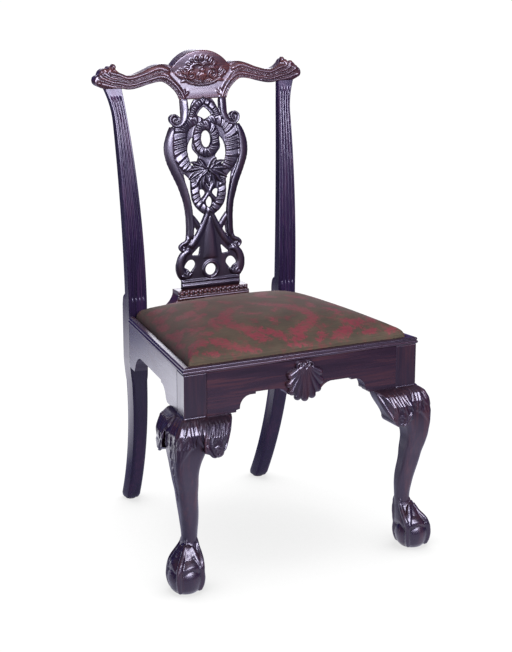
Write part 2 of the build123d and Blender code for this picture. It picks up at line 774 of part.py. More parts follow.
def seat_plan(inset):
    """Plan of the drop-in seat, set in from the cover's outer face: front left first, then round."""
    front = lip_inner + seat_clearance + inset
    rear = seat_depth - seat_clearance - inset
    left_front = side_x(front, front)
    left_rear = side_x(rear, front)
    return [(left_front, front), (-left_front, front), (-left_rear, rear), (left_rear, rear)]


def seat_prism(inset, low, high):
    """The seat's plan between two heights."""
    return extrude(Pos(0, 0, low) * make_face(Polyline(*seat_plan(inset), close=True)), high - low)


def crowned(inset, low, lowered):
    """A crowned pad on the seat's plan: upright sides, arched both ways, drawn in a little at the top."""
    plan = seat_plan(inset)
    edge = rail_top + edge_height - lowered
    lean = cover_draw_in / edge_height
    stations = 5
    crown_shares = (1, 0.8, 0.5, 0, -0.5, -0.8, -1)
    sections = []
    for i in range(stations):
        t = i / (stations - 1)
        y = plan[0][1] + t * (plan[3][1] - plan[0][1])
        half = -plan[0][0] + t * (plan[0][0] - plan[3][0])
        rise = 1 - (1 - edge_crown) * abs(2 * t - 1) ** 3
        top = edge + rise * (crown_height - edge_height)
        half_low = half - lean * (low - rail_top)
        half_edge = half - lean * (edge - rail_top)
        face = make_face([
            Line((-half_low, low), (half_low, low)),
            Line((half_low, low), (half_edge, edge)),
            Spline(*[(half_edge * share, edge + (top - edge) * (1 - abs(share) ** crown_fullness))
                     for share in crown_shares]),
            Line((-half_edge, edge), (-half_low, low)),
        ])
        sections.append(Pos(0, y, 0) * (Plane.XZ * face))
    return loft(sections)


cover_low = rail_top
frame_low = cover_low + cover_thickness
frame_high = frame_low + seat_rail_thickness
webbing_high = frame_high + 2 * webbing_thickness + 2 * webbing_gap
padding_low = webbing_high + hessian_thickness
frame_inset = cover_thickness + soft_gap + cover_draw_in


def seat_frame():
    """The four rails of the drop-in seat, the sides tenoned into front and rear."""
    plan = seat_plan(frame_inset)
    front_inner = plan[0][1] + seat_rail_width
    rear_inner = plan[3][1] - seat_rail_width
    whole = seat_prism(frame_inset, frame_low, frame_high)
    ring = whole - seat_prism(frame_inset + seat_rail_width, frame_low - 1, frame_high + 1)
    front = ring & box((-far, -far, 0), (far, front_inner, far))
    rear = ring & box((-far, rear_inner, 0), (far, far, far))
    left = ring & box((-far, front_inner, 0), (0, rear_inner, far))
    first = lip_inner + seat_clearance + frame_inset + seat_tenon_inset
    last = first + seat_rail_width - 2 * seat_tenon_inset
    start = front_inner - seat_tenon_length
    end = rear_inner + seat_tenon_length
    tongue_low = (frame_low + frame_high - seat_tenon_thickness) / 2
    tongue = Polyline((side_x(start, first), start), (side_x(start, last), start),
                      (side_x(end, last), end), (side_x(end, first), end), close=True)
    left += extrude(Pos(0, 0, tongue_low) * make_face(tongue), seat_tenon_thickness)
    right = mirror(left, Plane.YZ)
    return {"front": front - left - right, "rear": rear - left - right, "left": left, "right": right}


def strap(start, end, width_dir, levels, stations):
    """One webbing strap between two points: at each station it passes over or under a crossing strap."""
    way = (end - start).normalized()
    length = (end - start).length
    flat = webbing_width / 2 + 3
    low = frame_high
    step = webbing_thickness + webbing_gap
    line = [(0, low)]
    for station, level in zip(stations, levels):
        line += [(station - flat, low + level * step), (station + flat, low + level * step)]
    line.append((length, low))
    upper = [(s, z + webbing_thickness) for s, z in reversed(line)]
    face = make_face(Polyline(*line, *upper, close=True))
    plane = Plane(origin=(start.X, start.Y, 0), x_dir=way, z_dir=width_dir)
    return extrude(plane * face, webbing_width / 2, both=True)


def webbing():
    """Interlaced straps across the seat frame, lengthways and crossways."""
    plan = seat_plan(frame_inset + 10)
    front = plan[0][1]
    rear = plan[3][1]
    half_rear = -plan[3][0]
    pitch_x = 1.3 * (half_rear - seat_rail_width) * 2 / (webbing_count + 1)
    pitch_y = (rear - front) / (webbing_count + 1)
    columns = [(i - (webbing_count - 1) / 2) * pitch_x for i in range(webbing_count)]
    rows = [front + (j + 1) * pitch_y for j in range(webbing_count)]
    straps = []
    for i, x in enumerate(columns):
        levels = [(i + j) % 2 for j in range(webbing_count)]
        stations = [y - front for y in rows]
        straps.append(strap(Vector(x, front), Vector(x, rear), (1, 0, 0), levels, stations))
    for j, y in enumerate(rows):
        half = -side_x(y, lip_inner + seat_clearance + frame_inset + 10)
        levels = [(i + j + 1) % 2 for i in range(webbing_count)]
        stations = [x + half for x in columns]
        straps.append(strap(Vector(-half, y), Vector(half, y), (0, -1, 0), levels, stations))
    return straps


def cover():
    """Damask cover: a skin over the crown, down the sides and turned under the frame."""
    outer = crowned(0, cover_low, 0)
    inner = crowned(cover_thickness, frame_low, cover_thickness)
    opening = seat_prism(cover_turn_under, cover_low - 1, frame_low + 1)
    return outer - inner - opening


def tack_points():
    """Places of the tacks along the four turned-under edges."""
    plan = [Vector(*p) for p in seat_plan(tack_inset)]
    points = []
    for start, end in zip(plan, plan[1:] + plan[:1]):
        count = round((end - start).length / tack_spacing)
        points += [start + (end - start) * (i / count) for i in range(count)]
    return points


def tack(point, clearance=0.0):
    """A tack from below, through dust cover and cover into the seat frame."""
    up = (Align.CENTER, Align.CENTER, Align.MIN)
    under = cover_low - dust_cover_thickness
    head = Pos(0, 0, under - tack_head_height) * Cylinder(tack_head_radius, tack_head_height, align=up)
    pin = Cylinder(tack_radius + clearance, tack_length + 2 * clearance, align=up)
    pin = Pos(0, 0, under - clearance) * pin
    if clearance:
        return Pos(point.X, point.Y, 0) * pin
    return Pos(point.X, point.Y, 0) * (head + pin)


# Assemble the fixed frame
parts = {}
rail_front = front_rail()
rail_side = {"left": side_rail()}
rail_side["right"] = mirror(rail_side["left"], Plane.YZ)
rail_rear = rear_rail()
leg_left = front_leg() - rail_front - rail_side["left"]
post_left = rear_post() - rail_side["left"] - rail_rear
blocks_left, screws_left, holes_left = corner_blocks(leg_left)
holes = holes_left + [mirror(h, Plane.YZ) for h in holes_left]
screws = screws_left + [mirror(s, Plane.YZ) for s in screws_left]
for hole in holes_left:
    rail_side["left"] -= hole
    rail_front -= hole
    rail_rear -= hole
    for place in blocks_left:
        blocks_left[place] -= hole
for hole in holes[len(holes_left):]:
    rail_front -= hole
    rail_rear -= hole
rail_side["right"] = mirror(rail_side["left"], Plane.YZ)

foot_x = -seat_rear_width / 2 + rear_foot_inset + rear_foot_width / 2
foot_y = seat_depth + rear_foot_rake + rear_foot_depth / 2
glide_left = glide(foot_x, foot_y)
post_left -= glide_left
back_splat = splat()
shoe_part = shoe() - back_splat
crest_rail = crest() - back_splat - post_left - mirror(post_left, Plane.YZ)

left_pieces = {
    "front_leg": leg_left,
    "rear_post": post_left,
    "knee_bracket_front": front_bracket(leg_left),
    "knee_bracket_side": side_bracket(leg_left),
    "side_seat_rail": rail_side["left"],
    "side_rail_lip": side_lip(),
    "corner_block_front": blocks_left["front"],
    "corner_block_rear": blocks_left["rear"],
}
for name, piece in left_pieces.items():
    parts[name + "_left"] = piece
    parts[name + "_right"] = mirror(piece, Plane.YZ)
parts["front_seat_rail"] = rail_front
parts["rear_seat_rail"] = rail_rear
parts["front_rail_lip"] = front_lip()
parts["apron_shell"] = shell()
parts["splat_shoe"] = shoe_part
parts["back_splat"] = back_splat
parts["crest_rail"] = crest_rail
parts["corner_block_screws"] = Compound(screws)
parts["rear_foot_glides"] = Compound([glide_left, mirror(glide_left, Plane.YZ)])

# Assemble the drop-in seat
frame_pieces = seat_frame()
cover_part = cover()
dust_cover = seat_prism(dust_cover_inset, cover_low - dust_cover_thickness, cover_low)
tacks = [tack(p) for p in tack_points()]
for point in tack_points():
    hole = tack(point, tack_clearance)
    cover_part -= hole
    dust_cover -= hole
    for place in frame_pieces:
        frame_pieces[place] -= hole
for place, piece in frame_pieces.items():
    parts["seat_frame_" + place] = piece
parts["seat_webbing"] = Compound(webbing())
parts["seat_hessian"] = seat_prism(frame_inset + 6, webbing_high, padding_low)
parts["seat_padding"] = crowned(cover_thickness + soft_gap, padding_low, cover_thickness + soft_gap)
parts["seat_cover"] = cover_part
parts["seat_dust_cover"] = dust_cover
parts["seat_tacks"] = Compound(tacks)

# Put the origin at the middle of the base and write the pieces
whole_box = Compound(list(parts.values())).bounding_box()
centre = whole_box.center()
shift = Pos(-centre.X, -centre.Y, -whole_box.min.Z)
os.makedirs("parts", exist_ok=True)
for name, piece in parts.items():
    export_step(shift * piece, f"parts/{name}.step")
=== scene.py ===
import math

import bpy
import numpy as np
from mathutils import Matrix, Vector


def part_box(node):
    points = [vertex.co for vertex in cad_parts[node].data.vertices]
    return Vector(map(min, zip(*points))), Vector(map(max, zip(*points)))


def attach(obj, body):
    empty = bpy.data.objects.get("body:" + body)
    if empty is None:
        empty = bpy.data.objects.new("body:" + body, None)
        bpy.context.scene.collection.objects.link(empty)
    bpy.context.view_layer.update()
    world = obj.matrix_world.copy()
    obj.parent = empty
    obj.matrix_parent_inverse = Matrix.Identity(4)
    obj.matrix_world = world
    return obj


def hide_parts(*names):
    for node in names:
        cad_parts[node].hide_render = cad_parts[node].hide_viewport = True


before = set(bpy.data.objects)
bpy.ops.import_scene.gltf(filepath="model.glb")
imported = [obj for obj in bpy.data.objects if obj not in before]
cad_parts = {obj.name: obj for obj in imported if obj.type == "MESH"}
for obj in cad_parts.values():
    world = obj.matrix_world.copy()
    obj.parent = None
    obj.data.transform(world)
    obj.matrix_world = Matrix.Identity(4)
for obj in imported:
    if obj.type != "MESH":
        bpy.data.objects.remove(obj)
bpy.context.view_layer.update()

# Sizes are in millimetres with y = 0 at the front face of the front rail, as a maker would measure the chair
MM = 0.001
RAIL_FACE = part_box("front_seat_rail")[0].y
RAIL_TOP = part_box("front_seat_rail")[1].z / MM
RAIL_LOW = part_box("front_seat_rail")[0].z / MM
SEAT_DEPTH = (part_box("rear_post_left")[0].y - RAIL_FACE) / MM
SHOE_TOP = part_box("splat_shoe")[1].z / MM
SHOE_FACE = (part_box("splat_shoe")[0].y - RAIL_FACE) / MM
SPLAT_FACE = (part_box("back_splat")[0].y - RAIL_FACE) / MM
CREST_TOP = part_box("crest_rail")[1].z / MM
BACK_RADIUS = 2300.0
FRONT_HALF = 257.5
REAR_HALF = 199.5
CORNER_X = -FRONT_HALF
TAPER = math.atan2(FRONT_HALF - REAR_HALF, SEAT_DEPTH)


# Colours and nodes

def linear(code):
    """An sRGB hex colour as linear values."""
    parts = [int(code[i:i + 2], 16) / 255 for i in (1, 3, 5)]
    return [c / 12.92 if c <= 0.04045 else ((c + 0.055) / 1.055) ** 2.4 for c in parts] + [1.0]


def fill(tree, node, **inputs):
    """Fills or links a node's inputs by name, or by number as i0, i1 and so on."""
    for key, value in inputs.items():
        numbered = key[0] == "i" and key[1:].isdigit()
        socket = node.inputs[int(key[1:]) if numbered else key.replace("_", " ")]
        if isinstance(value, bpy.types.NodeSocket):
            tree.links.new(value, socket)
        else:
            socket.default_value = value


def add(tree, kind, settings=None, **inputs):
    """Adds a node, sets its properties and fills its inputs."""
    node = tree.nodes.new(kind)
    for key, value in (settings or {}).items():
        if key == "stops":
            elements = node.color_ramp.elements
            while len(elements) < len(value):
                elements.new(0.5)
            for element, (place, code) in zip(elements, value):
                element.position = place
                element.color = linear(code)
        else:
            setattr(node, key, value)
    fill(tree, node, **inputs)
    return node


def new_material(name):
    """A material with its node tree, its main shader and the place on the piece, in metres."""
    material = bpy.data.materials.new(name)
    material.use_nodes = True
    tree = material.node_tree
    place = add(tree, "ShaderNodeTexCoord").outputs["Object"]
    return material, tree, tree.nodes["Principled BSDF"], place


def mahogany(name, along, carved, stain=("#0b050a", "#170a11", "#311716"), gloss=0.5):
    """French-polished mahogany, stained almost black: wine-brown ground with long dark pore lines, a clear
    polish that mirrors the room at a low angle, and in carved work the hollows darkened, partly by dark wax
    and partly as painted shade, and polish rubbed thin on the ridges."""
    material, tree, shader, place = new_material(name)
    # Real pores are 0.3 mm wide; they are drawn ten times as wide so that they show
    pore = [1 / 0.003] * 3
    pore["xyz".index(along)] = 1 / 0.08
    figure = [1 / 0.028] * 3
    figure["xyz".index(along)] = 1 / 0.32
    lines = add(tree, "ShaderNodeMapping", Vector=place, Scale=pore).outputs[0]
    bands = add(tree, "ShaderNodeMapping", Vector=place, Scale=figure).outputs[0]
    grain = add(tree, "ShaderNodeTexNoise", Vector=lines, Scale=1.0, Detail=3.0).outputs["Fac"]
    flame = add(tree, "ShaderNodeTexNoise", Vector=bands, Scale=1.0, Detail=4.0,
                Distortion=1.0).outputs["Fac"]
    mixed = add(tree, "ShaderNodeMix", {"data_type": "FLOAT"}, i0=0.4, i2=flame, i3=grain).outputs[0]
    stops = list(zip((0.3, 0.5, 0.7), stain))
    colour = add(tree, "ShaderNodeValToRGB", {"stops": stops}, Fac=mixed).outputs["Color"]
    sheen = (0.3, 0.38) if carved else (0.23, 0.31)
    rough = add(tree, "ShaderNodeMapRange", Value=flame, From_Min=0.3, From_Max=0.7, To_Min=sheen[0],
                To_Max=sheen[1]).outputs[0]
    if carved:
        # Painted shade, partly dark wax: pointiness darkens the hollows of the carving
        edge = add(tree, "ShaderNodeNewGeometry").outputs["Pointiness"]
        wax = [(0.42, "#2b1d24"), (0.5, "#d8d0d4"), (0.56, "#ffffff")]
        hollow = add(tree, "ShaderNodeValToRGB", {"stops": wax}, Fac=edge).outputs["Color"]
        colour = add(tree, "ShaderNodeMix", {"data_type": "RGBA", "blend_type": "MULTIPLY"}, i0=1.0,
                     i6=colour, i7=hollow).outputs[2]
        dull = add(tree, "ShaderNodeMapRange", Value=edge, From_Min=0.4, From_Max=0.48, To_Min=0.5,
                   To_Max=0.0).outputs[0]
        rough = add(tree, "ShaderNodeMath", {"operation": "MAXIMUM"}, i0=rough, i1=dull).outputs[0]
    bump = add(tree, "ShaderNodeBump", Height=grain, Strength=0.03, Distance=0.0003).outputs[0]
    # The lilac tint of the polish's reflections is painted light colour, standing in for a cool cast in the
    # light
    fill(tree, shader, Base_Color=colour, Roughness=rough, Normal=bump, IOR=1.5, Specular_IOR_Level=gloss,
         Specular_Tint=linear("#e0d8ff"), Coat_Weight=0.15 if carved else 0.06, Coat_Roughness=0.14)
    return material


def plain_beech():
    """Unpolished beech of the hidden frame: pale straw brown with short darker flecks."""
    material, tree, shader, place = new_material("unpolished beech")
    fleck = add(tree, "ShaderNodeMapping", Vector=place, Scale=[1 / 0.02, 1 / 0.003, 1 / 0.003]).outputs[0]
    noise = add(tree, "ShaderNodeTexNoise", Vector=fleck, Scale=1.0, Detail=4.0).outputs["Fac"]
    colour = add(tree, "ShaderNodeValToRGB", {"stops": [(0.35, "#8f6a44"), (0.65, "#b98d60")]}, Fac=noise)
    fill(tree, shader, Base_Color=colour.outputs["Color"], Roughness=0.65)
    return material


def dull_steel():
    """Drawn steel of screws, tacks and glides, gone dull: grey with faint rust-brown clouds."""
    material, tree, shader, place = new_material("dull steel")
    noise = add(tree, "ShaderNodeTexNoise", Vector=place, Scale=1 / 0.0017, Detail=3.0).outputs["Fac"]
    colour = add(tree, "ShaderNodeValToRGB", {"stops": [(0.3, "#57504a"), (0.7, "#8b8783")]}, Fac=noise)
    fill(tree, shader, Base_Color=colour.outputs["Color"], Metallic=1.0, Roughness=0.42)
    return material


def plain_weave(name, dark, light, pitch):
    """Plain woven cloth: warp and weft ribs cross at one thread pitch, matt, with painted light and shade:
    each rib paler on top and darker between. The pitch is drawn coarser than the real 0.5 mm so that the
    weave shows."""
    material, tree, shader, place = new_material(name)
    scale = math.tau / pitch / 20
    warp = add(tree, "ShaderNodeTexWave", {"bands_direction": "X"}, Vector=place, Scale=scale).outputs["Fac"]
    weft = add(tree, "ShaderNodeTexWave", {"bands_direction": "Y"}, Vector=place, Scale=scale).outputs["Fac"]
    weave = add(tree, "ShaderNodeMath", {"operation": "MULTIPLY"}, i0=warp, i1=weft).outputs[0]
    # Painted highlight and shade: the colour follows the ribs' height, as the bump does
    colour = add(tree, "ShaderNodeValToRGB", {"stops": [(0.05, dark), (0.8, light)]}, Fac=weave)
    bump = add(tree, "ShaderNodeBump", Height=weave, Strength=0.4, Distance=0.0004)
    fill(tree, shader, Base_Color=colour.outputs["Color"], Normal=bump.outputs[0], Roughness=0.9)
    return material


FIGURE = "damask_figure"


def crimson_damask():
    """Silk and wool damask: a matt olive-brown ground with a crimson figure of scrolling leaves in satin
    weave, faded unevenly. The figure is woven into the cloth as its distance from a leaf edge, in
    millimetres."""
    material, tree, shader, place = new_material("crimson damask")
    figure = add(tree, "ShaderNodeAttribute", {"attribute_name": FIGURE}).outputs["Fac"]
    fray = add(tree, "ShaderNodeTexNoise", Vector=place, Scale=1 / 0.007, Detail=5.0,
               Roughness=0.7).outputs["Fac"]
    shift = add(tree, "ShaderNodeMapRange", Value=fray, To_Min=-25.0, To_Max=25.0).outputs[0]
    ragged = add(tree, "ShaderNodeMath", {"operation": "ADD"}, i0=figure, i1=shift).outputs[0]
    leaf = add(tree, "ShaderNodeMapRange", Value=ragged, From_Min=-3.0, From_Max=1.5, To_Min=1.0,
               To_Max=0.0).outputs[0]
    # Small worn sprigs fill the ground between the leaves
    sprig = add(tree, "ShaderNodeTexNoise", Vector=place, Scale=1 / 0.026, Detail=6.0,
                Roughness=0.72).outputs["Fac"]
    sprig = add(tree, "ShaderNodeMapRange", Value=sprig, From_Min=0.52, From_Max=0.62, To_Min=0.0,
                To_Max=0.6).outputs[0]
    fade = add(tree, "ShaderNodeTexNoise", Vector=place, Scale=1 / 0.045, Detail=4.0).outputs["Fac"]
    olive, crimson = [(0.3, "#272118"), (0.7, "#362c21")], [(0.3, "#4f111e"), (0.7, "#571b25")]
    ground = add(tree, "ShaderNodeValToRGB", {"stops": olive}, Fac=fade).outputs["Color"]
    red = add(tree, "ShaderNodeValToRGB", {"stops": crimson}, Fac=fade).outputs["Color"]
    worn = add(tree, "ShaderNodeMapRange", Value=fade, From_Min=0.3, From_Max=0.75, To_Min=0.95,
               To_Max=0.72).outputs[0]
    share = add(tree, "ShaderNodeMath", {"operation": "MAXIMUM"}, i0=leaf, i1=sprig).outputs[0]
    share = add(tree, "ShaderNodeMath", {"operation": "MULTIPLY"}, i0=share, i1=worn).outputs[0]
    vein = add(tree, "ShaderNodeTexNoise", Vector=place, Scale=1 / 0.008, Detail=3.0,
               Roughness=0.6).outputs["Fac"]
    vein = add(tree, "ShaderNodeMapRange", Value=vein, From_Min=0.4, From_Max=0.52, To_Min=0.4,
               To_Max=1.0).outputs[0]
    share = add(tree, "ShaderNodeMath", {"operation": "MULTIPLY"}, i0=share, i1=vein).outputs[0]
    colour = add(tree, "ShaderNodeMix", {"data_type": "RGBA"}, i0=share, i6=ground, i7=red).outputs[2]
    # Uneven weft shows as short streaks across the seat
    weft = add(tree, "ShaderNodeMapping", Vector=place, Scale=[1 / 0.016, 1 / 0.0024, 1 / 0.0024]).outputs[0]
    streak = add(tree, "ShaderNodeTexNoise", Vector=weft, Scale=1.0, Detail=2.0).outputs["Fac"]
    streak = add(tree, "ShaderNodeMapRange", Value=streak, From_Min=0.3, From_Max=0.7, To_Min=0.82,
                 To_Max=1.14).outputs[0]
    colour = add(tree, "ShaderNodeVectorMath", {"operation": "SCALE"}, i0=colour, Scale=streak).outputs[0]
    # Weft ribs are 0.5 mm apart in the real cloth and are drawn at 2 mm so that they show; their colour
    # follows their height, as painted light on top and painted shade between
    rib = add(tree, "ShaderNodeTexWave", {"bands_direction": "Y"}, Vector=place, Scale=math.tau / 0.002 / 20,
              Distortion=0.6).outputs["Fac"]
    thread = add(tree, "ShaderNodeMapRange", Value=rib, To_Min=0.82, To_Max=1.06).outputs[0]
    colour = add(tree, "ShaderNodeVectorMath", {"operation": "SCALE"}, i0=colour, Scale=thread).outputs[0]
    bump = add(tree, "ShaderNodeBump", Height=rib, Strength=0.25, Distance=0.0004).outputs[0]
    rough = add(tree, "ShaderNodeMapRange", Value=leaf, To_Min=0.85, To_Max=0.76).outputs[0]
    fill(tree, shader, Base_Color=colour, Roughness=rough, Normal=bump, Specular_IOR_Level=0.28,
         Sheen_Weight=0.06, Sheen_Roughness=0.45, Sheen_Tint=linear("#d8b8b0"))
    return material


# The posts are handled most, and their polish has worn thinner. Their bluer stain is painted light colour,
# standing in for the cool light that falls on them
WOOD_UP = mahogany("French-polished mahogany, upright grain", "z", False,
                   stain=("#0b0712", "#140b20", "#2a1629"), gloss=0.28)
WOOD_ACROSS = mahogany("French-polished mahogany, grain across", "x", False)
WOOD_BACK = mahogany("French-polished mahogany, grain front to back", "y", False)
CARVED_UP = mahogany("carved mahogany, upright grain", "z", True)
# The splat's carving takes a darker stain than the other carving
CARVED_DARK = mahogany("carved mahogany, dark with old wax", "z", True,
                       stain=("#08050a", "#10080f", "#23121a"))
# Painted light: the crest, and the shoe with it, take a lighter, warmer stain that stands in for the broad
# light falling on the crest
CARVED_ACROSS = mahogany("carved mahogany, grain across", "x", True,
                         stain=("#170b0c", "#2c1513", "#502a20"))
BEECH = plain_beech()
STEEL = dull_steel()
DAMASK = crimson_damask()
DUST = plain_weave("black dust cloth", "#0f0e0f", "#2a282a", 0.0016)
JUTE = plain_weave("jute webbing", "#5d4b32", "#9c8560", 0.0024)
HESSIAN = plain_weave("hessian", "#6d5a3c", "#a48d63", 0.002)


# Shaping tools

def deselect():
    """Leaves nothing selected, in object mode."""
    if bpy.context.mode != "OBJECT":
        bpy.ops.object.mode_set(mode="OBJECT")
    bpy.ops.object.select_all(action="DESELECT")


def only(piece):
    """Makes one piece the selected and active one."""
    deselect()
    piece.select_set(True)
    bpy.context.view_layer.objects.active = piece


def edit(piece):
    """Opens a piece for editing, with all of it selected."""
    only(piece)
    bpy.ops.object.mode_set(mode="EDIT")
    bpy.ops.mesh.select_all(action="SELECT")


def new_object(name, data):
    """A new object in the scene."""
    piece = bpy.data.objects.new(name, data)
    bpy.context.scene.collection.objects.link(piece)
    return piece


def chair_place(vertex):
    """Where a vertex lies, in chair millimetres."""
    return vertex.co.x / MM, (vertex.co.y - RAIL_FACE) / MM, vertex.co.z / MM


def mesh_object(name, points, faces):
    """A new object from points in chair millimetres."""
    points = np.asarray(points, float) * MM
    points[:, 1] += RAIL_FACE
    mesh = bpy.data.meshes.new(name)
    mesh.from_pydata(points.tolist(), [], faces)
    return new_object(name, mesh)


def skin(name, rings):
    """A tube with closed ends through rings of points: rings has one row for each station."""
    rings = np.asarray(rings, float)
    stations, sides = rings.shape[:2]
    faces = []
    for i in range(stations - 1):
        for j in range(sides):
            k = (j + 1) % sides
            faces.append((i * sides + j, i * sides + k, (i + 1) * sides + k, (i + 1) * sides + j))
    faces.append(tuple(range(sides)))
    faces.append(tuple((stations - 1) * sides + j for j in reversed(range(sides))))
    return mesh_object(name, rings.reshape(-1, 3), faces)


def outwards(piece):
    """All faces of a closed piece point out."""
    edit(piece)
    bpy.ops.mesh.normals_make_consistent(inside=False)
    bpy.ops.object.mode_set(mode="OBJECT")
    return piece


def blank(node):
    """A merged copy of a CAD piece: the block that the carver starts from."""
    piece = new_object(node + " blank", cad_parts[node].data.copy())
    edit(piece)
    bpy.ops.mesh.remove_doubles(threshold=0.02 * MM)
    bpy.ops.object.mode_set(mode="OBJECT")
    return piece


def apply_modifier(piece, kind, **settings):
    """Adds a modifier with its settings and applies it at once."""
    only(piece)
    modifier = piece.modifiers.new(kind.lower(), kind)
    for key, value in settings.items():
        setattr(modifier, key, value)
    bpy.ops.object.modifier_apply(modifier=modifier.name)


def join(name, shells):
    """Several closed shells as one object."""
    deselect()
    for shell in shells:
        shell.select_set(True)
    bpy.context.view_layer.objects.active = shells[0]
    bpy.ops.object.join()
    piece = bpy.context.active_object
    piece.name = name
    return outwards(piece)


def without_crumbs(piece):
    """The carved skin alone, without the specks that remeshing leaves in small gaps."""
    name = piece.name
    only(piece)
    bpy.ops.mesh.separate(type="LOOSE")
    parts = sorted(bpy.context.selected_objects, key=lambda part: len(part.data.vertices))
    for crumb in parts[:-1]:
        bpy.data.objects.remove(crumb)
    parts[-1].name = name
    only(parts[-1])
    return parts[-1]


def fuse(name, shells, voxel, smooth=2):
    """Carving: overlapping closed forms become one skin, and its tool marks are eased."""
    piece = join(name, shells)
    apply_modifier(piece, "REMESH", mode="VOXEL", voxel_size=voxel * MM)
    piece = without_crumbs(piece)
    apply_modifier(piece, "SMOOTH", factor=0.5, iterations=smooth)
    bpy.ops.object.shade_smooth()
    return piece


def finish_piece(piece, body, slot, material, *nodes):
    """Gives a piece its material, its body and the CAD pieces it stands for."""
    piece.data.materials.clear()
    piece.data.materials.append(material)
    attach(piece, body)
    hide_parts(*nodes)


def mirrored(piece, name):
    """The same piece for the right-hand side, with its own mesh."""
    twin = new_object(name, piece.data.copy())
    edit(twin)
    bpy.ops.transform.mirror(orient_type="GLOBAL", constraint_axis=(True, False, False),
                             center_override=(0, 0, 0))
    return outwards(twin)


def finish_pair(left, material, node):
    """Finishes a left-hand piece of the frame and its twin for the right-hand side."""
    right = mirrored(left, left.name.replace("_left", "_right"))
    finish_piece(left, "frame", "mahogany", material, node + "_left")
    finish_piece(right, "frame", "mahogany", material, node + "_right")


def smooth_path(points, step):
    """Evenly spaced points on a smooth curve through a few points, with any further columns carried along."""
    points = np.asarray(points, float)
    ends = np.vstack([2 * points[0] - points[1], points, 2 * points[-1] - points[-2]])
    dense = []
    for i in range(1, len(ends) - 2):
        a, b, c, d = ends[i - 1:i + 3]
        for t in np.linspace(0, 1, 24, endpoint=False):
            dense.append(0.5 * (2 * b + (c - a) * t + (2 * a - 5 * b + 4 * c - d) * t ** 2
                                + (3 * b - a - 3 * c + d) * t ** 3))
    dense.append(points[-1])
    dense = np.array(dense)
    length = np.concatenate([[0], np.cumsum(np.hypot(*np.diff(dense[:, :2], axis=0).T))])
    even = np.linspace(0, length[-1], max(4, int(length[-1] / step) + 1))
    return np.array([np.interp(even, length, column) for column in dense.T]).T, even


def band(surface, points, crown=3.0, edge=0.0, depth=4.0, slope=0.0, pleat=0.0, fold=10.0, lean=0.0, lift=0.0,
         taper=0.0):
    """One carved band: points are (u, v, half width). It is crowned across, pleated along its length if
    asked, and sunk into the surface by depth. A slope tips it across, up on its left. A taper draws both
    ends to a point."""
    path, along = smooth_path(points, 1.1)
    u, v, half = path.T[:3]
    span = along[-1]
    if taper:
        half = half * np.clip(np.sin(np.pi * np.clip(along / span, 0.02, 0.98)) ** taper, 0.12, 1)
    du, dv = np.gradient(u), np.gradient(v)
    size = np.hypot(du, dv) + 1e-9
    nu, nv = -dv / size, du / size
    ends = np.clip(np.minimum(along, span - along) / (0.8 * np.max(half)) + 0.25, 0, 1) ** 0.5
    rows = []
    for a in np.linspace(-1, 1, 9):
        height = edge + crown * (1 - abs(a) ** 2.2) + slope * a
        if pleat:
            # Folds of uneven width, each with a long rise and a short fall
            part = ((along + 2.6 * np.sin(along / 7.3) + lean * a * half) / fold) % 1.0
            tooth = np.minimum(part / 0.65, (1 - part) / 0.35) - 0.5
            height = height + pleat * tooth * (1.0 - 0.3 * a ** 2)
        rows.append(surface(u + a * half * nu, v + a * half * nv, lift + height * ends))
    for a in (0.8, -0.8):
        rows.append(surface(u + a * half * nu, v + a * half * nv, lift - depth + 0 * u))
    return skin("band", np.array(rows).transpose(1, 0, 2))


def bands(surface, strokes, **cut):
    """The same cut along several strokes."""
    return [band(surface, stroke, **cut) for stroke in strokes]


def arc(cu, cv, ru, rv, start, end, half, count=13):
    """Points of a band along an ellipse, angles in degrees."""
    turn = np.radians(np.linspace(start, end, count))
    return [(cu + ru * math.cos(t), cv + rv * math.sin(t), half) for t in turn]


def curl(cu, cv, start_radius, end_radius, start, end, half_start, half_end, count=17):
    """Points of a band that winds in like a volute, angles in degrees."""
    points = []
    for t in np.linspace(0, 1, count):
        radius = start_radius + (end_radius - start_radius) * t
        turn = math.radians(start + (end - start) * t)
        half = half_start + (half_end - half_start) * t
        points.append((cu + radius * math.cos(turn), cv + radius * math.sin(turn), half))
    return points


def leaf(u, v, angle, length, half, bend=0.0):
    """Points of a leaf that leaves (u, v) at an angle in degrees and bends as it goes."""
    points = []
    for t in np.linspace(0, 1, 6):
        turn = math.radians(angle + bend * t)
        points.append((u + length * t * math.cos(turn), v + length * t * math.sin(turn), half))
    return points


def both(points):
    """A band and its mirror image about the middle of the chair."""
    return [points, [(-p[0], *p[1:]) for p in points]]


# The back

def back_y(z):
    """The y of the back's swept face at height z."""
    rise = np.maximum(np.asarray(z, float) - SHOE_TOP, 0)
    return SPLAT_FACE + BACK_RADIUS - np.sqrt(BACK_RADIUS ** 2 - rise ** 2)


def on_back(x, z, height):
    """A point that stands proud of the swept face of splat and crest."""
    return np.stack([x, back_y(z) - height, z], axis=-1)


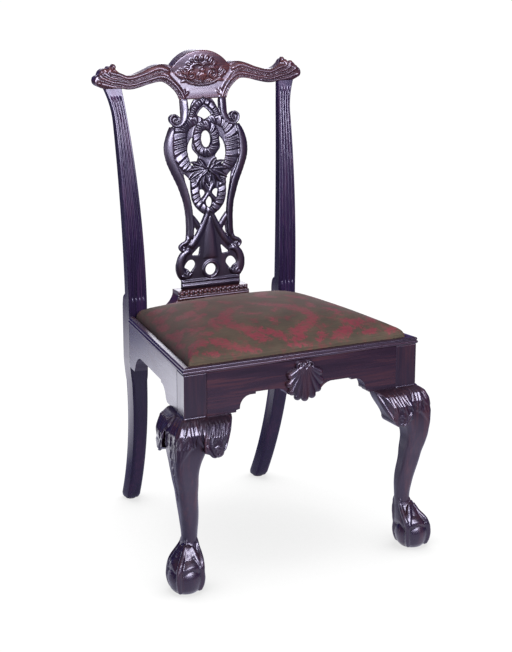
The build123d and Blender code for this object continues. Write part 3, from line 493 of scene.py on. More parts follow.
def make_splat():
    """Pierced splat: a thin plate that carries a plain frame, pleated ribbons, a bow and crossed straps."""
    plate = blank("back_splat")
    # The plate is thinned to its front face; narrow bands make up its back further down
    wall, full = 5.0, 13.0
    for vertex in plate.data.vertices:
        face_y = back_y(vertex.co.z / MM) * MM + RAIL_FACE
        vertex.co.y = face_y + (vertex.co.y - face_y) * wall / full
    outer = [(77, 834, 5), (84, 816, 8.5), (88, 792, 10.5), (86.5, 768, 10.5), (77, 742, 10), (65, 716, 10),
             (57, 692, 9.5), (50, 665, 8), (47.5, 640, 7.5), (47.5, 615, 7.5), (48.5, 597, 7.5)]
    neck = [(46, 893, 9), (46, 880, 9), (46, 865, 8.5), (49, 852, 8), (57, 842, 6), (68, 838.5, 5),
            (77, 845, 4.5), (78, 854, 4), (70, 859, 3.5), (63, 853, 3), (66, 847, 3), (70, 850, 3)]
    foot_scroll = [(50, 600, 6), (56, 590, 5.5), (66, 586, 4.5), (72, 579, 4), (66, 572, 3.5), (61, 578, 3),
                   (66, 580, 3)]
    lower = [(50, 572, 6), (62, 566, 7), (71, 553, 8.5), (73.5, 537, 9), (68, 521, 9), (60, 511, 8)]
    ribbon = [(6, 843, 8), (22, 847, 10), (40, 843, 12), (54, 832, 14), (61, 815, 15.5), (62, 795, 16.5),
              (60, 775, 16), (53, 757, 13.5), (44, 744, 9)]
    ring = arc(0, 807, 21.5, 29, -90, 270, 9.5, 25)
    arch = [(-4, 890, 6), (7, 884, 6.5), (18, 876, 6.5), (27.5, 863, 6.5), (31, 848, 6.5)]
    low_ring = [(35, 726, 8), (32, 706, 9.5), (30.5, 688, 10), (25, 671, 9.5), (14, 659, 9), (-2, 650, 7)]
    strap_down = [(3, 652, 5), (12, 632, 6.5), (22, 612, 7), (34, 594, 7.5), (47, 578, 7)]
    strap_across = [(44, 646, 5.5), (33, 632, 6), (24, 618, 6)]
    panel = [(0, 640, 3), (0, 610, 9), (0, 580, 13), (0, 552, 16)]
    shells = [plate]
    # Plain frame: its face slopes back from the ribbons to the outer edge
    for points, tip, lift in ((outer, 3.0, 1.6), (neck, 2.2, 1.2), (foot_scroll, 0, 0.4), (lower, 1.4, 0.6)):
        for way, side in zip((-1, 1), both(points)):
            shells.append(band(on_back, side, crown=2.4, slope=way * tip, lift=lift))
    pleats = {"crown": 1.2, "pleat": 3.0, "fold": 11.0}
    for points, lean, lift in ((ribbon, 0.25, 0), (low_ring, 0.3, 0.4), (arch, 0, 1.0)):
        shells += bands(on_back, both(points), edge=1.6, lean=lean, lift=lift, **pleats)
    shells.append(band(on_back, ring, edge=1.8, lean=0.4, lift=1.6, **pleats))
    shells += bands(on_back, both(strap_down), crown=2.6, lift=0.4)
    shells += bands(on_back, both(strap_across), crown=2.2, lift=-0.4)
    # Bow and tassel where the ribbons are tied
    bow = ((14, 44, 6), (-12, 46, 6), (-36, 46, 6), (40, 40, 6), (-62, 40, 5.5), (66, 30, 5), (-86, 36, 5))
    for angle, length, half in bow:
        for side in both(leaf(4, 742, angle, length, half, bend=-14)):
            shells.append(band(on_back, side, crown=5.0, edge=-0.6, lift=0.4, taper=0.7))
    for side in both(leaf(1, 742, 40, 20, 4.5)) + both(leaf(1, 742, -40, 20, 4.5)):
        shells.append(band(on_back, side, crown=4.0, lift=2.6, taper=0.6))
    for side in both([(-13, 716, 5), (-4, 700, 5), (4, 688, 5), (14, 676, 5), (24, 668, 5)]):
        shells.append(band(on_back, side, crown=2.4, lift=0.6))
    # Tapered middle panel, the round piercing's rim and the foot mouldings
    shells.append(band(on_back, panel, crown=1.6, lift=0.5))
    shells.append(band(on_back, arc(0, 526, 17, 17, -90, 270, 3.6, 25), crown=2.4, lift=0.2))
    for z, half, lift in ((503.5, 3.6, 0.4), (494, 5.0, 1.4)):
        shells.append(band(on_back, [(-69, z, half), (0, z, half), (69, z, half)], crown=2.2, lift=lift))
    for angle in (25, 60, 95, 130):
        shells += bands(on_back, both(leaf(56, 511, angle, 17, 4)), crown=2.4, lift=1.4, taper=0.6)
    # Narrower backs, because the piercings are cut away behind
    for points in (outer, neck, lower, ribbon, low_ring, strap_down, strap_across, arch):
        shells += bands(on_back, both([(p[0], p[1], 0.5 * p[2]) for p in points]), crown=1.0, lift=-8.0)
    for points in (ring, panel, [(-60, 498, 8), (0, 498, 8), (60, 498, 8)]):
        shells.append(band(on_back, [(p[0], p[1], 0.6 * p[2]) for p in points], crown=1.0, lift=-8.0))
    piece = fuse("carved_ribbon_splat", shells, 1.15)
    # Thinned, because its flat parts need no fine faces
    apply_modifier(piece, "DECIMATE", ratio=0.56)
    finish_piece(piece, "frame", "mahogany", CARVED_DARK, "back_splat")


DOME_Z = CREST_TOP - 38.0
DOME_HALF = 66.0


def on_dome(x, z, height):
    """A point on the swelling of the crest's middle: 8 mm proud at its centre and 2 mm at its rim."""
    spread = (x ** 2 + (z - DOME_Z) ** 2) / DOME_HALF ** 2
    return np.stack([x, back_y(DOME_Z) - 8.0 + 6.0 * np.minimum(spread, 1.0) - height, z], axis=-1)


def make_crest():
    """Crest rail: reeded wings with fluted ears on both sides of a dome with a carved cartouche."""
    shells = [blank("crest_rail")]
    # The neck is pared hollow on both sides and thinned behind
    neck_top, neck_half, thinned = 929.6, 99, 7
    for vertex in shells[0].data.vertices:
        x, y, z = chair_place(vertex)
        room = np.interp(z, [889, 894, 907, 916, 925, neck_top], [54.5, 55, 60.3, 67.5, 79, 92])
        if z < neck_top and abs(x) < neck_half:
            room -= thinned if y > back_y(z) + 12 else 0
            vertex.co.x = math.copysign(min(abs(x), room), x) * MM
    shells.append(band(on_back, [(-40, 904, 14), (0, 904, 14), (40, 904, 14)], crown=1.0, depth=7, lift=-0.5))
    # Four mouldings run along each wing: edge bead, broad reed, thin bead, broad reed, all equal at the ear
    wing = [(207, 921, 958), (188, 919.5, 953), (164, 918, 945.5), (130, 924, 953), (98, 929.5, 964.5)]
    shares = [0, 0.13, 0.48, 0.60, 1.0]
    waist, ear = 164, 207
    tips = [(235, 934), (231, 946), (221, 955), (203, 962)]
    tails = [[(83, 928, 2.6), (66, 914, 2.8), (57, 901, 2.8), (53, 890, 2.8)],
             [(78, 936, 5.5), (59, 919, 5.5), (48, 902, 5), (44.5, 890, 4.5)],
             [(80, 944, 2.4), (68, 932, 2.4), (62, 918, 2.2)],
             [(82, 954, 7), (72, 950, 6)]]
    for k in range(4):
        points = [(*tips[k], 6.0)]
        for x, low, high in wing:
            even = min(max((x - waist) / (ear - waist), 0), 1)
            start, end = (even * (k + side) / 4 + (1 - even) * shares[k + side] for side in (0, 1))
            points.append((x, low + (high - low) * (start + end) / 2, (high - low) * (end - start) / 2))
        crown, lift = (3.0, 0.8) if k in (0, 2) else (4.4, 0.2)
        shells += bands(on_back, both(points + tails[k]), crown=crown, edge=-0.6, depth=3, lift=lift)
        for side in both(leaf(tips[k][0] - 8, tips[k][1] - 2, 10 + 18 * k, 11, 5.0)):
            shells.append(band(on_back, side, crown=3.4, depth=9, lift=0.8, taper=0.4))
    # Cartouche on the dome: an edge of shell lobes over a pair of scrolls, a leaf between, a double border
    for turn in range(-10, 191, 20):
        angle = math.radians(turn)
        start = (29 * math.cos(angle), 950 + 20 * math.sin(angle))
        shells.append(band(on_dome, leaf(*start, turn, 12, 4.4), crown=2.8, taper=0.5))
    shells += bands(on_dome, both(curl(24, 942, 13.5, 2, 110, -330, 3.4, 2.0)), crown=3.8, lift=0.4)
    for side in both([(0, 960, 2), (9, 965, 3), (20, 963, 3.2), (30, 955, 2.6), (37, 944, 2)]):
        shells.append(band(on_dome, side, crown=3.2))
    rays = ((-90, 20), (-62, 17), (-118, 17), (-35, 13), (-145, 13), (90, 13), (60, 11), (120, 11))
    for turn, length in rays:
        shells.append(band(on_dome, leaf(0, 945, turn, length, 3.8), crown=3.8, taper=0.5))
    for sprout in ((40, 936, 20, 16, 3.8), (36, 930, -12, 17, 3.4), (41, 944, 48, 14, 3.4)):
        shells += bands(on_dome, both(leaf(*sprout)), crown=3.2, taper=0.6)
    border = CREST_TOP - 76.0 + 82.7
    for radius, half in ((80.0, 2.4), (74.5, 1.8)):
        shells.append(band(on_dome, arc(0, border, radius, radius, -138, -42, half, 17), crown=2.6))
    # Leaves on both sides of the plain neck panel
    for turn in (60, 100, 140):
        shells += bands(on_back, both(leaf(44, 897, turn, 15, 3.2)), crown=2.2, taper=0.6)
    piece = fuse("carved_crest_rail", shells, 1.1, smooth=8)
    finish_piece(piece, "frame", "mahogany", CARVED_ACROSS, "crest_rail")


def sweep_back(z, foot, rise, reach):
    """How far a tangent arc has swept back at height z: none at the foot, reach at the rise."""
    radius = (rise ** 2 + reach ** 2) / (2 * reach)
    return radius - np.sqrt(radius ** 2 - np.clip(z - foot, 0, rise) ** 2)


def eased(ring, middle_x, middle_y, half_x, half_y, power, scale):
    """Rounds the corners of a section, more for a low power."""
    soft = []
    for x, y, z in ring:
        p, q = (x - middle_x) / half_x, (y - middle_y) / half_y
        size = scale / max((abs(p) ** power + abs(q) ** power) ** (1 / power), 1e-6)
        soft.append((middle_x + half_x * p * size, middle_y + half_y * q * size, z))
    return soft


def make_posts():
    """Rear posts: square leg raked back, fluted and rounded upright above the seat."""
    foot, knee, bend, top = 4.0, RAIL_LOW, 475.0, 920.0
    flute, flutes, low_stop, high_stop = 2.5, 4, 480.0, 902.0
    ease = 1.2
    heights = np.concatenate([np.linspace(foot, bend, 60), np.linspace(bend + 4, top, 112)])
    rings = []
    for z in heights:
        t = max(z - bend, 0) / (top - bend)
        drop = np.clip((knee - z) / (knee - foot), 0, 1)
        # The sides lean out to the crest and draw in to the foot; front and rear sweep back both ways
        inner = -157.5 - 26 * (0.3 * t + 0.7 * t ** 2) + 14 * drop
        outer = -REAR_HALF - 7.5 * t - 14 * max(0, (z - 850) / 70) ** 2 + 22 * drop - 7.8 * drop * (drop - 1)
        rake = sweep_back(-z, -knee, knee - foot, 85.5)
        front = SEAT_DEPTH + sweep_back(z, bend, top - bend, 57) + rake
        rear = SEAT_DEPTH + 36 + sweep_back(z, bend, top - bend, 43) + rake
        middle, half = (inner + outer) / 2, (inner - outer) / 2
        ring = []
        stop = np.clip(min(z - low_stop, high_stop - z) / 5, 0, 1) ** 0.5
        for x in np.linspace(inner - ease, outer + ease, 71):
            share = (x - outer) / (inner - outer) * (flutes + 1)
            gap = abs(share - np.clip(round(share), 1, flutes)) * 2 * half / (flutes + 1)
            ring.append((x, front + stop * math.sqrt(max(flute ** 2 - gap ** 2, 0)), z))
        square = 2 / (2 + 14 * np.clip(1 - (z - bend) / 14, 0, 1))
        side = front + ease + 0.45 * (rear - front)
        ring.append((outer, front + ease, z))
        for turn in np.linspace(math.pi, 0, 29):
            c, s = math.cos(turn), max(math.sin(turn), 0)
            x = middle + half * math.copysign(abs(c) ** square, c)
            ring.append((x, side + (rear - side) * s ** square, z))
        ring.append((inner, front + ease, z))
        if z < bend:
            corners = np.interp(z, [300, 410], [4.5, 40])
            shrink = 1 - 0.12 * max(0, 1 - (z - foot) / 9) ** 2
            ring = eased(ring, middle, (front + rear) / 2, half, (rear - front) / 2, corners, shrink)
        rings.append(ring)
    left = outwards(skin("fluted_rear_post_left", rings))
    bpy.ops.object.shade_smooth_by_angle(angle=math.radians(35))
    finish_pair(left, WOOD_UP, "rear_post")


# Moulded lips round the seat

def lip_profile():
    """The lip across its width: inset from the rail's face and height over the rail's top."""
    def bead(inset, height, radius, start, end):
        return [(inset - radius * math.cos(math.radians(a)), height + radius * math.sin(math.radians(a)))
                for a in np.linspace(start, end, 9)]
    beads = bead(1.6, 4.2, 3.6, -60, 62) + bead(2.4, 10.4, 3.4, -35, 90)
    return [(12, 0), (0.4, 0)] + beads + [(11.2, 13.8), (12, 13)]


def side_line(y, inset):
    """The x of a line along the left side rail, set in from its face."""
    return CORNER_X + (inset + y * math.sin(TAPER)) / math.cos(TAPER)


def make_lips():
    """Three lips, mitred at the front corners, from one profile."""
    profile = lip_profile()
    corner = [(side_line(inset, inset), inset, RAIL_TOP + height) for inset, height in profile]
    back = [(side_line(SEAT_DEPTH, inset), SEAT_DEPTH, RAIL_TOP + height) for inset, height in profile]
    far = [(-x, y, z) for x, y, z in corner]
    front = outwards(skin("moulded_front_lip", [corner, far]))
    left = outwards(skin("moulded_side_lip_left", [back, corner]))
    for piece in (front, left):
        only(piece)
        bpy.ops.object.shade_smooth_by_angle(angle=math.radians(40))
    finish_piece(front, "frame", "mahogany", WOOD_ACROSS, "front_rail_lip")
    finish_pair(left, WOOD_BACK, "side_rail_lip")


# Front legs

LEG_HEIGHTS = [60, 77, 92, 110, 136, 169, 204, 239, 269, 293, 319, 335, 344.5]
LEG_OUTER = [24, 8, 0, -1, 1, 6.8, 13, 21, 25, 26, 22, 14, 1]
LEG_INNER = [30.6, 29.6, 30.6, 30.6, 30.2, 27.4, 24, 22, 31, 43, 48, 48, 48]
LEG_ROUND = [0.94, 0.94, 0.94, 0.94, 0.8, 0.65, 0.55, 0.48, 0.45, 0.42, 0.38, 0.32, 0.2]
LEG_GIRTH = 40.0


def foot_axis(z):
    """How far the middle of the foot lies inside the leg's corner: the ankle is further in than the ball."""
    return np.interp(z, [45, 60, 77, 92, 110], [0, 3.3, 10.8, 15.3, 15.8])


def on_leg(u, z, height):
    """A point on the cabriole: u runs round it from the outer corner, in millimetres at its girth."""
    outer = np.interp(z, LEG_HEIGHTS, LEG_OUTER)
    inner = np.interp(z, LEG_HEIGHTS, LEG_INNER)
    softness = np.interp(z, LEG_HEIGHTS, LEG_ROUND)
    half = (outer + inner) / 2
    centre = (inner - outer) / 2
    power = 1 / (0.5 - np.log2((1 - softness) * math.sqrt(2) + softness))
    turn = math.radians(225) + u / LEG_GIRTH
    c, s = np.cos(turn), np.sin(turn)
    reach = half / (np.abs(c) ** power + np.abs(s) ** power) ** (1 / power) + height
    return np.stack([CORNER_X + centre + reach * c, centre + reach * s, z + 0 * reach], axis=-1)


def claw(angle):
    """One toe of the foot: from the ankle over two knuckles to the talon, in towards the floor."""
    reach = [14, 17.5, 23.5, 30, 33.5, 35, 35.5, 34, 30]
    height = [100, 88, 76, 64, 53, 42, 30, 17, 6]
    thick = [3.5, 4.0, 5.0, 5.6, 5.4, 5.0, 5.4, 4.8, 4.0]
    path, _ = smooth_path(np.stack([reach, height, thick], axis=1), 3.0)
    slope = np.gradient(path[:, :2], axis=0)
    slope /= np.linalg.norm(slope, axis=1)[:, None]
    c, s = math.cos(math.radians(angle)), math.sin(math.radians(angle))
    rings = []
    for (r, z, girth), (dr, dz) in zip(path, slope):
        ring = []
        axis = foot_axis(z)
        for turn in np.linspace(0, math.tau, 14, endpoint=False):
            out, across = girth * math.cos(turn), girth * math.sin(turn)
            far = r - dz * out
            ring.append((CORNER_X + axis + far * c - across * s, axis + far * s + across * c, z + dr * out))
        rings.append(ring)
    return skin("claw", rings)


def ankle_flare():
    """The ankle opens like a bell over the ball, deeper between the toes than along them."""
    profile = [(108, 14.6), (97, 15.6), (87, 18), (78, 21.6), (70, 25.8), (62, 30), (55, 32.8), (49, 33.4),
               (45, 31), (43, 20)]
    rings = []
    for z, radius in profile:
        ring = []
        axis = foot_axis(z)
        for turn in np.linspace(0, math.tau, 64, endpoint=False):
            r = radius * (0.97 - 0.04 * math.cos(4 * turn))
            lower = 5 * math.cos(4 * turn) * max(0, (70 - z) / 25)
            ring.append((CORNER_X + axis + r * math.cos(turn), axis + r * math.sin(turn), z + lower))
        rings.append(ring)
    return skin("ankle flare", rings)


def make_legs():
    """Cabriole legs: acanthus on the knee, a slim shank, and a ball gripped by four claws."""
    shells = [blank("front_leg_left")]
    # The shank is a little fuller than its block
    for vertex in shells[0].data.vertices:
        x, y, z = chair_place(vertex)
        x -= CORNER_X
        middle = (np.interp(z, LEG_HEIGHTS, LEG_INNER) - np.interp(z, LEG_HEIGHTS, LEG_OUTER)) / 2
        size = math.hypot(x - middle, y - middle)
        more = 1 + 2.0 * np.interp(z, [90, 130, 250, 300], [0, 1, 1, 0]) / max(size, 1)
        vertex.co.x = (CORNER_X + middle + (x - middle) * more) * MM
        vertex.co.y = (middle + (y - middle) * more) * MM + RAIL_FACE
    # The toes of the block are pared close to the ball
    for vertex in shells[0].data.vertices:
        x, y, z = chair_place(vertex)
        x -= CORNER_X
        axis = foot_axis(z)
        size = math.hypot(x - axis, y - axis)
        close = np.interp(z, [0, 8, 27, 45, 55, 66, 78, 92, 104], [25, 30, 35, 35, 33, 28, 21.5, 17, 15])
        if z < 98 and size > close:
            less = (close + 0.4 * (size - close)) / size
            vertex.co.x = (CORNER_X + axis + (x - axis) * less) * MM
            vertex.co.y = (axis + (y - axis) * less) * MM + RAIL_FACE
    # Leaf tips that curl over along the knee's top, each with its own length and lean, then long strands
    for i, u in enumerate(np.arange(-60, 61, 6.7)):
        wave = math.sin(2.4 * i)
        out = 5 * max(0, (abs(u) - 40) / 20)
        tip = [(0.78 * u + 2 * wave, 344, 2.6), (0.86 * u + 3 * wave, 333, 4.6), (u, 318 + 3 * wave, 4.8),
               (1.1 * u - 5 * wave, 307 + 6 * wave, 3.6), (1.16 * u - 9 * wave, 299 + 9 * wave, 2.0)]
        lift = 0.4 + out + 0.9 * math.sin(1.7 * i)
        shells.append(band(on_leg, tip, crown=3.3 + 0.7 * wave, depth=3, lift=lift, taper=0.3))
    root = 334
    strands = ((-34, 200), (-26, 186), (-18, 180), (-10, 184), (-3, 196), (5, 214), (14, 236), (23, 252),
               (32, 262))
    for u, foot in strands:
        fall = root - foot
        strand = [(u, root, 3.8), (0.88 * u, root - 0.35 * fall, 3.8),
                  (0.62 * u - 2, root - 0.62 * fall, 3.0), (0.4 * u - 5, root - 0.84 * fall, 2.2),
                  (0.25 * u - 6, foot, 1.4)]
        shells.append(band(on_leg, strand, crown=2.4, depth=3, lift=0.3))
    for z in (290, 273, 256, 240, 225, 211, 198):
        edge = [(-22, z, 4.5), (-28, z - 8, 5.0), (-31, z - 20, 3.2)]
        shells.append(band(on_leg, edge, crown=3.2, depth=3, lift=1.0, taper=0.4))
    shells += [ankle_flare()] + [claw(angle) for angle in (45, 135, 225, 315)]
    left = fuse("carved_cabriole_leg_left", shells, 1.25, smooth=5)
    finish_pair(left, CARVED_UP, "front_leg")


# Knee brackets

BULGE = 1.22


def bracket_front(a, z, height):
    """A point on the face of the bracket under the front rail, a measured from the leg's corner."""
    plan = np.interp(a, [26, 71, 88.8, 99.7], [31, 27.3, 14, 1])
    bulge = np.interp(RAIL_LOW - z, [0, 9, 30, 58, 74], [1, 17, 27.9, 31, 29.1])
    return np.stack([CORNER_X + a, -BULGE * np.minimum(plan, bulge) - height, z], axis=-1)


def to_side(points):
    """The same bracket on the side of the leg: along the side rail, facing out."""
    a, out = points[..., 0] - CORNER_X, -points[..., 1]
    x = CORNER_X + a * math.sin(TAPER) - out * math.cos(TAPER)
    y = a * math.cos(TAPER) + out * math.sin(TAPER)
    return np.stack([x, y, points[..., 2]], axis=-1)


def bracket_side(a, z, height):
    """A point on the face of the bracket under the side rail."""
    return to_side(bracket_front(a, z, height))


def fuller(bracket, side):
    """Swells a bracket's block out from the rail's face."""
    along = (math.sin(TAPER), math.cos(TAPER)) if side else (1.0, 0.0)
    out = (-math.cos(TAPER), math.sin(TAPER)) if side else (0.0, -1.0)
    for vertex in bracket.data.vertices:
        x, y = vertex.co.x / MM - CORNER_X, (vertex.co.y - RAIL_FACE) / MM
        a, o = x * along[0] + y * along[1], x * out[0] + y * out[1]
        o = o * BULGE if o > 0 else o
        vertex.co.x = (CORNER_X + a * along[0] + o * out[0]) * MM
        vertex.co.y = (a * along[1] + o * out[1]) * MM + RAIL_FACE
    return bracket


def make_brackets():
    """Four knee brackets: a row of leaf lobes over a volute, with a border along the lower edge."""
    lobes = []
    for i, a in enumerate((34, 41, 48, 55, 62, 69, 76)):
        wave = math.sin(2.1 * i)
        lobes.append([(a + 7, 344, 3.0), (a + 4 + wave, 333, 4.2), (a - 2, 318 + 3 * wave, 4.2),
                      (a - 8, 303 + 6 * wave, 2.8)])
    tip = [(88, 342, 3.4), (84, 332, 3.8), (79, 320, 3.2)]
    border = [(67, 284, 3.2), (74, 294, 3.6), (82, 308, 3.6), (90, 325, 3.2), (97, 341, 2.4)]
    stem = [(30, 300, 4.5), (36, 289, 4.5), (43, 278, 4), (50, 273.5, 3.4)]
    for place, surface in (("front", bracket_front), ("side", bracket_side)):
        name = "knee_bracket_" + place
        shells = [fuller(blank(name + "_left"), place == "side")]
        volute = curl(55.3, RAIL_LOW - 59.5, 11.0, 1.8, 150, -480, 3.6, 2.2, 29)
        shells.append(band(surface, volute, crown=3.8, depth=3))
        for points in lobes + [tip, border, stem]:
            shells.append(band(surface, points, crown=3.8, depth=3, taper=0.3))
        finish_pair(fuse("carved_" + name + "_left", shells, 1.05, smooth=5), CARVED_UP, name)


def on_rail(x, z, height):
    """A point that stands proud of the front rail's face."""
    return np.stack([x, -height + 0 * x, z], axis=-1)


def make_shell():
    """Scallop shell on the front rail: lobes that fan out below a pair of small scrolls."""
    shells = [blank("apron_shell")]
    hinge = RAIL_LOW + 77
    lobes = 10
    for i in range(lobes):
        turn = math.radians(-112 + 224 * i / (lobes - 1))
        tip = (35 * math.sin(turn), RAIL_LOW + 45 - 36 * math.cos(turn))
        way = [(tip[0] * t, hinge + (tip[1] - hinge) * t, 1.0 + 4.4 * t) for t in np.linspace(0.1, 1, 6)]
        shells.append(band(on_rail, way, crown=5.5, edge=-2.0, depth=2, lift=4.0))
    for side in both(curl(12, hinge - 3, 8, 2, 140, -280, 3.0, 2.0)):
        shells.append(band(on_rail, side, crown=3.0, depth=6, lift=4.0))
    piece = fuse("carved_scallop_shell", shells, 0.85)
    finish_piece(piece, "frame", "mahogany", CARVED_UP, "apron_shell")


def make_shoe():
    """Shoe under the splat, with a row of small lobes along its top over two fillets."""
    def on_shoe(x, z, height):
        return np.stack([x, SHOE_FACE - height + 0 * x, z], axis=-1)

    shells = [blank("splat_shoe")]
    count = 15
    for i in range(count):
        x = (i - (count - 1) / 2) * 10.9
        points = [(x, SHOE_TOP - 9, 4.2), (x, SHOE_TOP - 4.5, 4.6), (x, SHOE_TOP - 0.5, 4.2)]
        shells.append(band(on_shoe, points, crown=2.2, depth=3, taper=0.3))
    for z, half in ((SHOE_TOP - 11, 1.6), (SHOE_TOP - 16, 2.6)):
        fillet = [(-84, z, half), (0, z, half), (84, z, half)]
        shells.append(band(on_shoe, fillet, crown=1.8, depth=5, lift=0.6))
    piece = fuse("moulded_shoe", shells, 1.0)
    finish_piece(piece, "frame", "mahogany", CARVED_ACROSS, "splat_shoe")


# Drop-in seat

SEAT_FRONT = 14.0
SEAT_REAR = SEAT_DEPTH - 2.0
SEAT_FRONT_HALF = -side_line(SEAT_FRONT, SEAT_FRONT)
SEAT_REAR_HALF = -side_line(SEAT_REAR, SEAT_FRONT)


def seat_half(y, inset):
    """Half the seat's width at y, set in from the cover's face."""
    share = (y - SEAT_FRONT) / (SEAT_REAR - SEAT_FRONT)
    return SEAT_FRONT_HALF + share * (SEAT_REAR_HALF - SEAT_FRONT_HALF) - inset


def seat_block(name, inset, low, high):
    """The seat's plan between two heights, as a block."""
    deselect()
    bpy.ops.mesh.primitive_cube_add(size=1)
    block = bpy.context.active_object
    block.name = name
    for vertex in block.data.vertices:
        y = SEAT_FRONT + inset if vertex.co.y < 0 else SEAT_REAR - inset
        x = math.copysign(seat_half(y, inset), vertex.co.x)
        vertex.co = (x * MM, y * MM + RAIL_FACE, (low if vertex.co.z < 0 else high) * MM)
    return block


def blow_up(pad, cap):
    """The stuffing pushes the cover out a little, as far as cap, while its tacked edge stays where it is."""
    tacked_height, pressure, steps = RAIL_TOP + 27, 4.0, 20
    tacked = pad.vertex_groups.new(name="tacked edge")
    tacked.add([v.index for v in pad.data.vertices if v.co.z < tacked_height * MM], 1.0, "ADD")
    cloth = pad.modifiers.new("stuffing", "CLOTH")
    cloth.settings.vertex_group_mass = tacked.name
    cloth.settings.use_pressure = True
    cloth.settings.uniform_pressure_force = pressure
    cloth.settings.effector_weights.gravity = 0.0
    cloth.point_cache.frame_end = steps
    for step in range(1, steps + 1):
        bpy.context.scene.frame_set(step)
    puffed = pad.evaluated_get(bpy.context.evaluated_depsgraph_get()).data
    for vertex, moved in zip(pad.data.vertices, puffed.vertices):
        push = moved.co - vertex.co
        vertex.co += push * min(1.0, cap * MM / max(push.length, 1e-9))
    pad.modifiers.remove(cloth)
    pad.vertex_groups.clear()
    bpy.context.scene.frame_set(1)


def make_cushion():
    """The stuffed seat: crowned top, rolled edge, sides that stand in the rebate, border turned under."""
    columns, rows = 81, 65
    roll, shoulder, rise = 14.0, 32.5, 33
    sides = ((9.2, 29.6), (5.8, 26), (3.2, 22), (1.4, 18), (0.4, 14), (0.4, 7), (0.4, 1.4), (1.2, 0.4),
             (12, 0.4))

    def plan(i, j, inset):
        y = SEAT_FRONT + inset + (SEAT_REAR - SEAT_FRONT - 2 * inset) * j / (rows - 1)
        return (2 * i / (columns - 1) - 1) * seat_half(y, inset), y

    points, faces = [], []
    for j in range(rows):
        for i in range(columns):
            across, along = abs(2 * i / (columns - 1) - 1), abs(2 * j / (rows - 1) - 1)
            crown = rise * (1 - across ** 4) * (1 - 0.95 * along ** 3) + 3 * across ** 3 * (1 - along ** 6)
            points.append((*plan(i, j, roll), RAIL_TOP + shoulder + crown))
    for j in range(rows - 1):
        for i in range(columns - 1):
            k = j * columns + i
            faces.append((k, k + 1, k + columns + 1, k + columns))
    border = ([(i, 0) for i in range(columns)] + [(columns - 1, j) for j in range(1, rows)]
              + [(i, rows - 1) for i in range(columns - 2, -1, -1)]
              + [(0, j) for j in range(rows - 2, 0, -1)])
    ring = [j * columns + i for i, j in border]
    for inset, height in sides:
        below = range(len(points), len(points) + len(border))
        points += [(*plan(i, j, inset), RAIL_TOP + height) for i, j in border]
        for k in range(len(border)):
            after = (k + 1) % len(border)
            faces.append((ring[k], below[k], below[after], ring[after]))
        ring = list(below)
    pad = outwards(mesh_object("damask_cushion", points, faces))
    blow_up(pad, 5.0)
    apply_modifier(pad, "SUBSURF", levels=1, render_levels=1)
    bpy.ops.object.mode_set(mode="EDIT")
    bpy.ops.mesh.select_all(action="DESELECT")
    bpy.ops.mesh.select_non_manifold()
    bpy.ops.mesh.edge_face_add()
    bpy.ops.object.mode_set(mode="OBJECT")
    outwards(pad)
    # Inside the rebate the cover stays clear of the lips
    for vertex in pad.data.vertices:
        x, y, z = chair_place(vertex)
        room = np.interp(z - RAIL_TOP, [16, 24], [0.2, -3.0])
        y = min(max(y, SEAT_FRONT + room), SEAT_REAR - 0.2)
        reach = seat_half(y, room)
        vertex.co = (min(max(x, -reach), reach) * MM, y * MM + RAIL_FACE, max(z, RAIL_TOP + 0.2) * MM)
    # Hollow for the seat frame, open underneath
    for inset, low, high in ((4.4, RAIL_TOP + 1.4, RAIL_TOP + 20.9), (48, RAIL_TOP - 6, RAIL_TOP + 2)):
        cutter = seat_block("hollow", inset, low, high)
        apply_modifier(pad, "BOOLEAN", operation="DIFFERENCE", object=cutter, solver="EXACT")
        bpy.data.objects.remove(cutter)
    only(pad)
    bpy.ops.object.shade_smooth_by_angle(angle=math.radians(50))
    weave_figure(pad)
    finish_piece(pad, "slip_seat", "damask", DAMASK, "seat_cover", "seat_padding")


